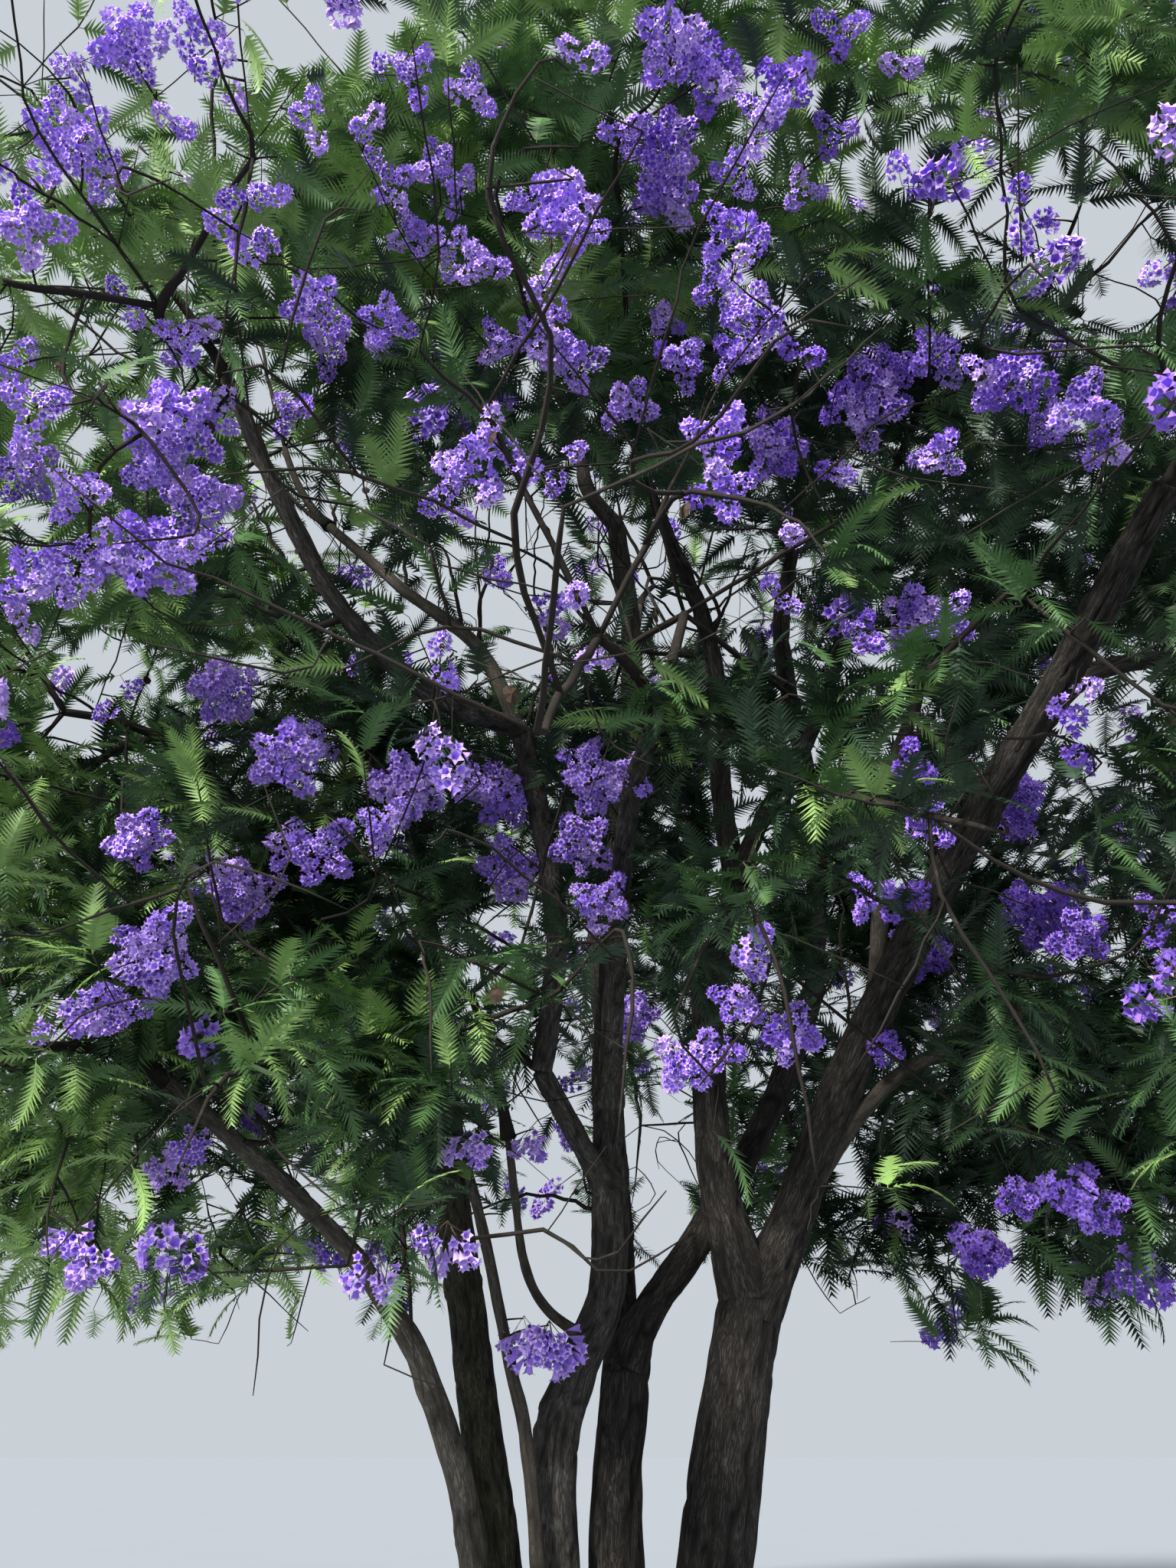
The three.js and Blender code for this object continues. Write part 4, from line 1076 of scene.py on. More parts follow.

# %% [markdown]
# ## Bare branches in the gaps
#
# Through the gaps the viewer sees slim dark branches that wind upwards with no leaf on them.
# They are what tells a jacaranda's crown from a hedge, so the ones that show best are drawn one by
# one: each row has the limb and the share of it that the branch leaves from, its thickness, the
# plane that its tip ends in, and the places in the picture that it passes. A place in the picture
# is a line of sight, and the branch's distance comes from upright planes that go step by step
# from its foot's to its tip's.

# %% Draw the bare branches
BARE_BRANCHES = [
    ("bough_middle_right", 0.73, 0.018, -1.30, [(850, 852), (829, 844), (784, 829), (762, 807),
        (751, 781), (742, 757), (726, 731), (717, 697), (703, 669), (693, 649), (712, 630),
        (689, 582)]),
    ("bough_upper_left", 0.35, 0.015, -1.30, [(626, 812), (629, 781), (644, 736), (634, 715),
        (641, 686), (630, 645)]),
    ("bough_upper_left", 0.34, 0.011, -1.15, [(627, 800), (624, 750), (621, 690), (626, 640)]),
    ("bough_upper_left", 0.42, 0.014, -1.00, [(596, 781), (588, 748), (581, 720), (562, 705),
        (538, 690)]),
    ("bough_middle_right", 0.76, 0.019, -0.30, [(937, 815), (939, 801), (922, 764), (891, 731),
        (871, 686), (862, 640)]),
    ("bough_middle_right", 0.78, 0.014, -0.50, [(944, 798), (958, 762), (967, 736), (980, 700)]),
    ("bough_middle_right", 0.77, 0.010, -1.20, [(890, 812), (866, 787), (835, 762), (815, 735),
        (798, 714), (773, 686), (750, 665)]),
    ("leader", 0.70, 0.011, -0.95, [(829, 807), (810, 767), (795, 752), (779, 736), (781, 715),
        (793, 692), (804, 644), (807, 574)]),
    ("bough_middle_left", 0.98, 0.013, -0.60, [(700, 905), (722, 868), (712, 821), (700, 778),
        (698, 731), (705, 680), (716, 640)]),
    ("bough_upper_left", 0.96, 0.015, -1.10, [(400, 668), (379, 647), (345, 617), (318, 588),
        (300, 560)]),
    ("bough_front_left", 0.55, 0.018, -1.90, [(404, 767), (385, 748), (366, 736), (338, 729),
        (318, 742)]),
    ("bough_front_left", 0.62, 0.013, -2.00, [(375, 735), (353, 698), (338, 670), (322, 647),
        (305, 618), (289, 594)]),
    ("bough_upper_left", 0.65, 0.013, -1.00, [(528, 735), (524, 719), (512, 700), (501, 683),
        (484, 662), (476, 635), (468, 604), (455, 575)]),
    ("bough_upper_left", 0.97, 0.013, -0.90, [(436, 665), (443, 642), (437, 615), (430, 591),
        (438, 560)]),
    ("bough_front_left", 0.50, 0.022, -1.90, [(394, 823), (370, 808), (353, 800), (312, 780),
        (280, 775), (251, 770)]),
    ("stem_middle", 0.74, 0.014, -0.25, [(760, 1574), (749, 1568), (718, 1562), (690, 1561),
        (665, 1566), (640, 1573), (616, 1584), (604, 1602)]),
    ("stem_middle", 0.77, 0.009, -0.20, [(768, 1560), (764, 1540), (756, 1501), (749, 1483),
        (738, 1462)]),
    ("bough_knuckle", 1.0, 0.022, -0.75, [(680, 1382), (669, 1372), (646, 1356), (639, 1330),
        (641, 1308), (628, 1262), (618, 1215), (610, 1185)]),
    ("bough_knuckle", 1.0, 0.015, -0.40, [(676, 1368), (690, 1345), (707, 1325), (722, 1290),
        (742, 1220)]),
    ("bough_crossing", 0.72, 0.012, 0.30, [(1015, 1470), (1013, 1430), (1018, 1378),
        (1024, 1330)]),
    ("bough_right", 0.28, 0.011, -0.15, [(1030, 1470), (1026, 1430), (1024, 1385), (1036, 1340)]),
    ("bough_right", 0.36, 0.012, -0.60, [(1110, 1300), (1098, 1250), (1101, 1190), (1085, 1120)]),
    ("bough_right", 0.46, 0.010, -0.90, [(1180, 1235), (1165, 1190), (1160, 1130), (1148, 1065)]),
    ("bough_front_right", 0.40, 0.018, -0.90, [(1083, 1030), (1110, 990), (1125, 950), (1150, 920),
        (1185, 885), (1215, 850)]),
    ("bough_lower_left", 0.80, 0.016, -1.00, [(360, 1490), (330, 1450), (290, 1440), (240, 1400),
        (190, 1395)]),
    ("bough_left_upright", 0.35, 0.016, 0.20, [(550, 1240), (520, 1200), (505, 1150),
        (470, 1110)]),
]
BARE_STEP, BARE_TAPER, BARE_WANDER = 0.07, 0.35, 0.006


def from_picture(across, down, y):
    """The point in the upright plane at y that the viewer sees at a place in the picture."""
    way = (AHEAD + SIDEWAYS * (across - PICTURE[0] / 2) / FOCAL_PIXELS
           + UPWARD * (PICTURE[1] / 2 - down) / FOCAL_PIXELS)
    return EYE + way * (y - EYE[1]) / way[1]


bare_tips = []
for limb, share, radius, far_y, places in BARE_BRANCHES:
    foot = limbs[limb]["curve"].at(share)
    planes = np.linspace(foot[1], far_y, len(places) + 1)[1:]
    curve = Curve([foot, *(from_picture(*place, y) for place, y in zip(places, planes))])
    shares, run = curve.evenly(BARE_STEP)
    centres = curve.at(shares)
    centres[2:-1] += rng.normal(0, BARE_WANDER, (len(centres) - 3, 3))
    radii = radius * (1 - (1 - BARE_TAPER) * shares)
    plain_tube(twigs[side_at(centres[-1])[0]], centres, radii, 5)
    bare_tips.append((np.linalg.norm(middles - centres[-1], axis=1).argmin(), centres))
print("bare branches:", len(bare_tips))

# %% [markdown]
# ## What the viewer must see
#
# A crown with leaves spread evenly hides everything. In the real one the sky shows in some wide
# gaps, the thick limbs show in between, and the flowers hang in front. Each of these is a guard:
# a place in the picture, the room round it, how far away the thing is, and how surely it is kept
# clear of leaves. A leaf that would stand in a guard's room, nearer to the viewer than the thing
# itself, is mostly left out. From other sides nobody misses it, as its twig keeps the rest.

# %% Set the guards
# The middle of each gap in the picture and its radius, in pixels.
SKY_GAPS = [
    (672, 650, 26), (700, 690, 38), (704, 760, 36), (690, 850, 34), (655, 790, 26), (850, 730, 24),
    (880, 800, 26), (960, 790, 24), (712, 1420, 44), (706, 1510, 46), (712, 1600, 44),
    (860, 1500, 44), (862, 1580, 38), (1085, 1490, 24), (1110, 1530, 24), (400, 1555, 30),
    (1305, 292, 40), (1385, 286, 40), (1455, 300, 36), (390, 40, 46), (480, 55, 40),
    (1000, 1700, 60), (1130, 1720, 60), (640, 1700, 40), (800, 1690, 50), (350, 640, 20),
    (400, 700, 18), (455, 640, 20), (560, 560, 18), (60, 50, 56), (20, 130, 34), (330, 20, 34),
    (130, 450, 26), (110, 570, 22), (650, 1220, 22), (700, 1190, 20), (620, 1290, 24),
    (880, 660, 20), (160, 880, 24), (330, 870, 18), (110, 935, 26), (1040, 1110, 16),
    (870, 1060, 14), (1190, 200, 26), (290, 1560, 28), (150, 1560, 24), (1420, 930, 24),
    (1490, 900, 26), (1470, 380, 30), (540, 860, 16), (1240, 330, 22), (1430, 1010, 18),
    (40, 1830, 90), (170, 1820, 80), (300, 1800, 80), (420, 1800, 80), (540, 1800, 70),
    (250, 1930, 80), (400, 1930, 80), (340, 1700, 30), (440, 1690, 30), (1210, 1800, 70),
    (1310, 1840, 60),
]
# Wider places where the crown is thin, so that sky shows between its leaves.
THIN_PLACES = [
    (60, 70, 130), (180, 120, 120), (300, 60, 100), (60, 330, 110), (330, 170, 80),
    (180, 400, 110), (40, 190, 80), (1240, 240, 130), (1400, 300, 120), (700, 760, 120),
    (480, 790, 100), (620, 700, 90), (940, 750, 100), (110, 900, 90), (60, 470, 70),
    (650, 1260, 80), (860, 1450, 60), (480, 60, 70), (400, 600, 80), (1440, 920, 80),
    (820, 700, 70), (330, 520, 70), (1100, 170, 60), (150, 1000, 50), (560, 800, 60),
]
# The shares of a limb that the viewer sees, and the room beside its middle, in pixels.
SEEN_LIMBS = [
    ("stem_left", 0, 1, 36), ("stem_ridged", 0, 0.75, 40), ("stem_slim", 0, 0.6, 20),
    ("stem_middle", 0, 1, 58), ("stem_rough", 0, 1, 58), ("stem_right", 0, 1, 80),
    ("shoot_slim", 0, 0.7, 18), ("leader", 0, 0.16, 32), ("leader", 0.66, 1, 36),
    ("leader_top", 0, 0.5, 22), ("bough_lower_left", 0, 0.85, 28), ("bough_crossing", 0, 0.8, 38),
    ("bough_right", 0, 0.45, 50), ("bough_right", 0.55, 1, 40),
    ("bough_upright_right", 0, 0.75, 48), ("bough_middle_right", 0.45, 0.55, 24),
    ("bough_middle_right", 0.72, 1, 22), ("bough_knuckle", 0, 1, 38),
    ("bough_middle_left", 0, 0.35, 34), ("bough_front_left", 0, 0.24, 30),
    ("bough_front_left", 0.5, 0.85, 22), ("bough_upper_left", 0.1, 1, 18),
    ("bough_inner_right", 0.58, 0.95, 24), ("bough_inner_right", 0.34, 0.44, 18),
    ("bough_front_right", 0.1, 0.6, 26), ("bough_light_right", 0.4, 0.6, 18),
    ("bough_outer_right", 0, 0.8, 24),
]
GAP_KEPT, THIN_KEPT, LIMB_KEPT, BRANCH_KEPT, CLUSTER_KEPT = 0.98, 0.44, 0.97, 0.80, 1.0
LIMB_POINTS, BRANCH_ROOM = 40, 13
LEAFY_POINTS = 6             # the last points of a bare branch, which leaves may hide
NEAREST = 4.0                # nothing leafy stands nearer to the viewer than this, in view
FAR_AWAY = 99.0
BATCH = 2000                 # about how many points are tested at once, to spare memory

guards = [(*gap, FAR_AWAY, GAP_KEPT) for gap in SKY_GAPS]
guards += [(*place, FAR_AWAY, THIN_KEPT) for place in THIN_PLACES]
watched = [(limbs[name]["curve"].at(np.linspace(first, last, LIMB_POINTS)), room, LIMB_KEPT)
           for name, first, last, room in SEEN_LIMBS]
watched += [(centres[:-LEAFY_POINTS], BRANCH_ROOM, BRANCH_KEPT) for _, centres in bare_tips]
for spots, room, kept in watched:
    guards += [(*spot, room, away, kept) for spot, away in zip(*in_picture(spots))]


def hides(spots):
    """How surely a leaf at each point is left out, for the sake of what the viewer must see."""
    across, down, room, away, weight = GUARDS.T
    seen, deep = in_picture(spots)
    sure = (in_frame(seen, deep) & (deep < NEAREST)).astype(float)
    for part in np.array_split(np.arange(len(spots)), 1 + len(spots) // BATCH):
        off = np.hypot(seen[part, None, 0] - across, seen[part, None, 1] - down)
        before = (off < room) & (deep[part, None] < away) & (deep[part, None] > 0)
        sure[part] = np.maximum(sure[part], (before * weight).max(1))
    return sure


print("guards:", len(guards))

# %% [markdown]
# ## Leaves
#
# A jacaranda leaf is a fern-like frond, as long as a forearm: a thin midrib that arches over
# under its own weight, with many pairs of slim side leaflets, longest near the middle. A few
# frond shapes are modelled once, with different arches, and copied thousands of times with
# their own turn and size. Each side leaflet is one slim triangle that droops to its tip, so light
# falls through between them, as it does in the real crown.

# %% Model a few fronds
LEAFLET_REACH = 0.265        # the longest side leaflet, as a share of the frond's length
LEAFLET_WIDTH, LEAFLET_DROOP, LEAFLET_TWIST = 0.064, 0.16, 0.006
LEAFLET_SLANT, LEAFLET_CLOSING = 68, 26  # degrees from the midrib at its foot, less at its tip
FROND_BARE = 0.12            # the share of the midrib before its first leaflets
REACH_FROM, REACH_RUN, REACH_ROUNDNESS = 0.10, 0.80, 0.7   # how leaflets' reach swells and falls
LEAFLET_RISE, RISE_WAVE, WAVE_STEP = 0.10, 0.14, 2.4       # leaflets stand up unevenly
RIB_STEPS, RIB_WIDTH, RIB_TAPER = 2, 0.012, 0.3
RIB_SHORTENING = 0.25        # how much less far an arched rib reaches
NUDGE = 0.02


def make_frond(pairs, lift, arch, sway):
    """A frond of length 1 along X with its upper side to Z, as corners, triangles and finishes."""
    def rib(shares):
        shares = np.asarray(shares, float)
        return np.stack([shares * (1 - RIB_SHORTENING * arch * shares), sway * shares**2,
                         lift * shares - arch * shares**2], -1)

    frond = Parts()
    line = rib(np.linspace(0, 1, RIB_STEPS + 1))
    width = np.linspace(RIB_WIDTH, RIB_WIDTH * RIB_TAPER, RIB_STEPS + 1)[:, None]
    half = width / 2 * (0, 1, 0)
    step = np.arange(RIB_STEPS) * 2
    strip = np.vstack([np.stack([step, step + 2, step + 1], -1),
                       np.stack([step + 1, step + 2, step + 3], -1)])
    frond.add(np.stack([line - half, line + half], 1).reshape(-1, 3), strip)
    for number, share in enumerate(np.linspace(FROND_BARE, 1, pairs)):
        ahead = unit(rib(share + NUDGE) - rib(share - NUDGE))
        swell = math.sin(math.pi * (REACH_FROM + REACH_RUN * share))
        reach = LEAFLET_REACH * swell**REACH_ROUNDNESS
        slant = math.radians(LEAFLET_SLANT - LEAFLET_CLOSING * share)
        for side in (-1, 1):
            rise = LEAFLET_RISE + RISE_WAVE * math.sin(number * WAVE_STEP + side)
            way = ahead * math.cos(slant) + np.array([0, side, rise]) * math.sin(slant)
            tip = rib(share) + way * reach - (0, 0, LEAFLET_DROOP * reach)
            wide = ahead * LEAFLET_WIDTH / 2 + np.array([0, 0, LEAFLET_TWIST])
            frond.add(np.array([rib(share) - wide, rib(share) + wide, tip]), np.array([[0, 1, 2]]))
    return frond.shape()


# Each frond's pairs of leaflets, its lift, its arch and its sway to one side.
FRONDS = [make_frond(*row) for row in [(16, 0.10, 0.30, 0.05), (15, 0.22, 0.55, -0.08),
                                       (16, 0.05, 0.16, -0.04), (15, 0.15, 0.42, 0.12)]]
print("triangles of a frond:", [len(faces) for _, faces, _ in FRONDS])

# %% [markdown]
# ## Flowers
#
# The flowers hang in panicles at the twigs' ends: a stalk with side arms, and on every arm
# a bell, which widens to a mouth of five round lobes. Two bells are modelled, a wide one whose
# lobes spread and a slim long one, each as a tube of five sides and five lobes. A bell is copied
# round a panicle so that the bells point outward and hide the stalk. Each panicle takes one lilac
# for its tubes and one for its lobes, because on the tree whole panicles differ: fresh ones are
# deeper, old ones paler. The lilacs are also painted light: the pale one stands for sunlit petals
# and the deep one for petals in shade.

# %% Model a few panicles
BELL_LENGTH = 0.054
# The three lilacs are partly the flowers' own tones and partly painted light: the pale one painted
# sunlight, the deep one painted shade.
STALK, SUNLIT_PETAL, HALF_SHADE_PETAL, SHADED_PETAL = range(4)
GOLDEN_TURN = 2.39996        # each bell's turn from the last, so that none stands over another
PANICLE_BOW, ARM_WIDTH, BELL_CHANCE = 0.10, 0.0014, 0.40
STALK_RADII = (0.0032, 0.0014)
BELLS_FROM, BELLS_RUN = 0.22, 0.78       # the stalk is bare up to this share of it
WIDEST_RUN, ARM_LEAN, TURN_CHANCE = 0.70, 0.5, 0.3
ARM_LENGTHS, BELL_SIZES = (0.72, 1.12), (0.82, 1.15)


def make_bell(mouth, spread, length):
    """A bell along X: a tube of five sides that ends in a mouth, and five lobes that spread."""
    def ring(shift):
        turn = np.arange(5) * math.tau / 5 + shift
        return np.stack([np.zeros(5), np.cos(turn), np.sin(turn)], -1)

    rim = ring(0) * mouth + (length - 0.10, 0, 0)
    lobes = ring(math.pi / 5) * spread + (length, 0, 0)
    side = np.arange(1, 6)
    after = side % 5 + 1
    tube = np.stack([np.zeros(5, int), side, after], -1)
    lobe = np.stack([side, side + 5, after], -1)
    return np.vstack([[0, 0, 0], rim, lobes]), np.vstack([tube, lobe]), np.repeat([0, 1], 5)


BELL = make_bell(0.35, 0.62, 0.66)
SLIM_BELL = make_bell(0.25, 0.40, 0.94)


def aim(ways, ups):
    """Turns for copies whose own X points along ways, with their Z as near ups as can be."""
    ahead = unit(ways)
    beside = unit(np.cross(ups, ahead))
    return np.stack([ahead, beside, np.cross(ahead, beside)], axis=2)


def make_panicle(seed, length, width, bells, tube_finish, lobe_finish,
                 bell=BELL, hang=0.25, grown=1.0):
    """A panicle along X: a stalk, and bells on arms that stand out from it on every side."""
    draw = np.random.default_rng(seed)
    panicle = Parts()
    shares = np.linspace(0, 1, 4)
    bow = draw.uniform(-PANICLE_BOW, PANICLE_BOW, 2)
    axis = np.stack([shares, bow[0] * shares**2, bow[1] * shares**2], -1) * length
    plain_tube(panicle, axis, np.linspace(*STALK_RADII, 4), 3)
    roots, ways = [], []
    for number in range(bells):
        share = BELLS_FROM + BELLS_RUN * (number + 0.5) / bells
        turn = number * GOLDEN_TURN + draw.normal(0, TURN_CHANCE)
        out = np.array([hang + ARM_LEAN * share, math.cos(turn), math.sin(turn)])
        foot = np.array([share, bow[0] * share**2, bow[1] * share**2]) * length
        swell = math.sin(math.pi * (BELLS_FROM + WIDEST_RUN * share))
        end = foot + unit(out) * (width * swell * draw.uniform(*ARM_LENGTHS))
        thin = unit(np.cross(out, (1, 0, 0))) * ARM_WIDTH
        panicle.add(np.array([foot - thin, foot + thin, end]), np.array([[0, 1, 2]]), STALK)
        roots.append(end)
        ways.append(unit(out + draw.normal(0, BELL_CHANCE, 3)))
    spots, faces, kinds = bell
    coloured = (spots * BELL_LENGTH, faces, np.where(kinds == 0, tube_finish, lobe_finish))
    turned = aim(np.array(ways), draw.normal(0, 1, (bells, 3)))
    panicle.scatter(coloured, np.array(roots), turned, draw.uniform(*BELL_SIZES, bells) * grown)
    return panicle.shape()


# Each panicle's length, width and count of bells, and the lilacs of its tubes and lobes.
DENSE = [(0.21, 0.055, 22, HALF_SHADE_PETAL, SUNLIT_PETAL), (0.23, 0.050, 22, SHADED_PETAL, SUNLIT_PETAL),
         (0.20, 0.055, 21, HALF_SHADE_PETAL, HALF_SHADE_PETAL), (0.22, 0.052, 22, SHADED_PETAL, HALF_SHADE_PETAL),
         (0.20, 0.050, 20, SHADED_PETAL, SHADED_PETAL), (0.21, 0.055, 22, SUNLIT_PETAL, SUNLIT_PETAL)]
# In the low clusters nearest to the viewer the bells hang apart, along the stalk's way.
LOOSE = [(0.22, 0.070, 13, SUNLIT_PETAL, SUNLIT_PETAL, SLIM_BELL, 1.6, 1.7),
         (0.20, 0.065, 12, HALF_SHADE_PETAL, SUNLIT_PETAL, SLIM_BELL, 1.4, 1.7)]
PANICLES = [make_panicle(seed, *row) for seed, row in enumerate(DENSE + LOOSE, 1)]
DENSE_SHAPES, LOOSE_SHAPES = range(len(DENSE)), range(len(DENSE), len(PANICLES))
SUNNY_SHAPES, SHADY_SHAPES = (0, 0, 1, 2, 5), (2, 3, 4, 4)
PANICLE_LENGTH = 0.26
print("triangles of a panicle:", [len(faces) for _, faces, _ in PANICLES])

# %% [markdown]
# ## Clusters of flowers
#
# The finest thing on this tree is how its flowers stand in dense round clusters. Where the viewer
# sees one, a ball of panicles is set at that place in the picture, at the distance of the
# foremost twigs there. It hangs in the air at first, so a spur then grows to it from the nearest
# twig, and the panicles radiate from the spur's end. The more twigs flower, the less leaf they
# bear, so a cluster is a guard as well.

# %% Set the clusters of flowers
# The middle of each cluster in the picture and its radius, in pixels.
CLUSTERS = [
    (169, 56, 60), (246, 41, 50), (287, 97, 46), (102, 184, 60), (133, 230, 45), (36, 297, 60),
    (230, 164, 40), (333, 261, 46), (61, 164, 38), (404, 154, 38), (481, 174, 36), (543, 97, 42),
    (614, 123, 40), (568, 220, 44), (512, 246, 40), (543, 307, 44), (630, 348, 46), (590, 330, 34),
    (737, 276, 60), (762, 310, 46), (707, 256, 40), (881, 61, 64), (930, 100, 56), (1024, 113, 58),
    (1000, 158, 46), (865, 195, 60), (872, 258, 54), (819, 174, 40), (952, 297, 50),
    (973, 338, 40), (988, 420, 56), (960, 464, 42), (891, 471, 46), (819, 532, 44), (717, 379, 42),
    (748, 471, 50), (707, 440, 42), (655, 451, 42), (410, 399, 56), (430, 451, 44), (502, 420, 46),
    (246, 440, 46), (220, 553, 70), (276, 543, 48), (205, 604, 60), (256, 655, 60), (295, 650, 36),
    (190, 727, 70), (130, 716, 42), (250, 717, 46), (46, 532, 56), (31, 614, 50), (102, 645, 54),
    (51, 758, 60), (102, 758, 48), (28, 810, 40), (154, 911, 26), (384, 538, 42), (614, 604, 58),
    (640, 572, 46), (584, 655, 44), (660, 630, 40), (737, 604, 30), (937, 573, 60),
    (1014, 589, 54), (942, 640, 54), (1110, 530, 44), (1137, 522, 60), (1219, 471, 50),
    (1165, 480, 40), (1224, 594, 46), (1331, 502, 60), (1290, 492, 44), (1413, 532, 58),
    (1440, 580, 46), (1362, 560, 40), (292, 901, 56), (369, 993, 60), (410, 970, 40),
    (532, 1034, 58), (502, 1078, 48), (420, 1116, 58), (376, 1106, 44), (655, 1039, 52),
    (612, 1022, 38), (778, 1024, 54), (758, 993, 40), (822, 1012, 40), (666, 1137, 50),
    (758, 1106, 50), (788, 1178, 50), (179, 1096, 54), (317, 1167, 58), (297, 1145, 44),
    (200, 1249, 64), (215, 1205, 50), (123, 1311, 58), (168, 1312, 44), (72, 1330, 34),
    (983, 1229, 46), (968, 1305, 50), (1034, 1341, 58), (891, 1382, 58), (819, 1331, 46),
    (930, 1365, 44), (1178, 1167, 54), (1136, 1172, 44), (1208, 1244, 50), (1208, 1075, 50),
    (1188, 998, 44), (1372, 1198, 58), (1413, 1222, 48), (1331, 1188, 42), (1331, 1044, 44),
    (1515, 1198, 40), (1193, 809, 56), (1240, 806, 44), (1126, 829, 40), (1157, 1362, 40),
    (246, 1475, 48), (222, 1515, 36), (118, 1628, 54), (102, 1595, 34), (620, 1475, 36),
    (696, 1475, 40), (717, 1731, 62), (684, 1722, 38), (492, 1638, 50), (584, 1597, 36),
    (1393, 1546, 58), (1331, 1556, 44), (1280, 1628, 50), (1434, 1577, 44), (1400, 912, 26),
    (1392, 962, 26), (1520, 350, 34), (1321, 277, 34), (1372, 287, 28), (1100, 40, 44),
    (1180, 90, 36), (760, 80, 26), (690, 250, 30), (20, 480, 40), (350, 330, 34), (300, 300, 30),
    (600, 250, 34), (960, 230, 40), (1050, 250, 34), (1090, 180, 34), (930, 380, 38),
    (870, 420, 34), (1050, 470, 30), (1180, 240, 30), (100, 100, 34), (20, 220, 34),
    (160, 400, 34), (1040, 700, 30), (1090, 620, 34), (1010, 780, 24), (660, 760, 24),
    (570, 860, 30), (780, 860, 28), (760, 780, 26),
]
SPUR_RADII, SPUR_BEND, LONGEST_SPUR = (0.0062, 0.0040), 0.05, 0.62
THICKEST_FOOT = 0.07         # limbs thinner than this bear spurs as well
FOOT_BEFORE = 0.4            # what a foot counts extra that is nearer to the viewer, in metres
PANICLES_PER_AREA = 180      # panicles in a ball of one metre's radius
PANICLE_LIMITS, FEWEST_LOOSE, LOOSE_SHARE = (2, 12), 3, 0.6
SIZE_LIMITS = (0.6, 1.2)
LOOK_LEAST, LOOK_ROUND = 40, 26          # how far round a cluster its foremost twig is looked for
FOREMOST, FEWEST_POINTS = 0.12, 3
# The parts of the picture, in pixels, where clusters hang loose, are paler as painted sunlight,
# and are deeper as painted shade.
LOOSE_BELOW, LOOSE_LEFT_OF = 1440, 800
SUNNY_LEFT_OF, SHADY_RIGHT_OF, SHADY_BELOW = 850, 1150, 950
# How much a cluster's panicles rise: loose ones, low ones under a height in metres, and others.
LOOSE_RISE, LOW_RISE, LOW_CLUSTER, HIGH_RISE = -1.1, -0.45, 3.6, 0.10
CLUSTER_RIM, CLUSTER_DEPTH = 8, 0.1
# A cluster faces the viewer and out of the crown. Its panicles spread and lean that way.
TO_VIEWER, OUTWARD, SPREAD, LEAN, SET_BACK, FILLED = 0.9, 0.5, 0.95, 0.55, 0.2, 0.98

all_points = np.vstack([centres for mass in masses for centres, _ in mass["twigs"]]
                       + [limb["curve"].at(np.linspace(0.3, 1, 24)) for limb in limbs.values()
                          if limb["radii"][0] < THICKEST_FOOT])
point_seen, point_deep = in_picture(all_points)
panicle_root, panicle_way, panicle_size = [], [], []


def foremost(across, down, room, share):
    """The place of the foremost twigs near a place in the picture, and how far away they are."""
    near = (np.hypot(*(point_seen - (across, down)).T) < room) & (point_deep > NEAREST)
    if near.sum() < FEWEST_POINTS:
        return None, None
    deep = np.quantile(point_deep[near], share, method="nearest")
    line = from_picture(across, down, 0) - EYE
    return EYE + line * deep / (line @ AHEAD), deep


def grow_spur(centre, deep):
    """A short twig to a place from the nearest twig, and rather from one behind it."""
    away = np.linalg.norm(all_points - centre, axis=1) + FOOT_BEFORE * (point_deep < deep)
    foot = all_points[away.argmin()]
    reach = np.linalg.norm(centre - foot)
    if reach > LONGEST_SPUR:
        return None
    middle = (foot + centre) / 2 + rng.normal(0, SPUR_BEND, 3) * reach
    spur = Curve([foot, middle, centre]).at(np.linspace(0, 1, 4))
    plain_tube(twigs[side_at(centre)[0]], spur, np.linspace(*SPUR_RADII, 4), 3)
    return reach


def spread_ways(count):
    """Ways that are spread evenly all round, from a chance start."""
    high = 1 - 2 * (np.arange(count) + 0.5) / count
    turn = np.arange(count) * GOLDEN_TURN + rng.uniform(0, math.tau)
    level = np.sqrt(1 - high**2)
    return np.stack([level * np.cos(turn), level * np.sin(turn), high], -1)


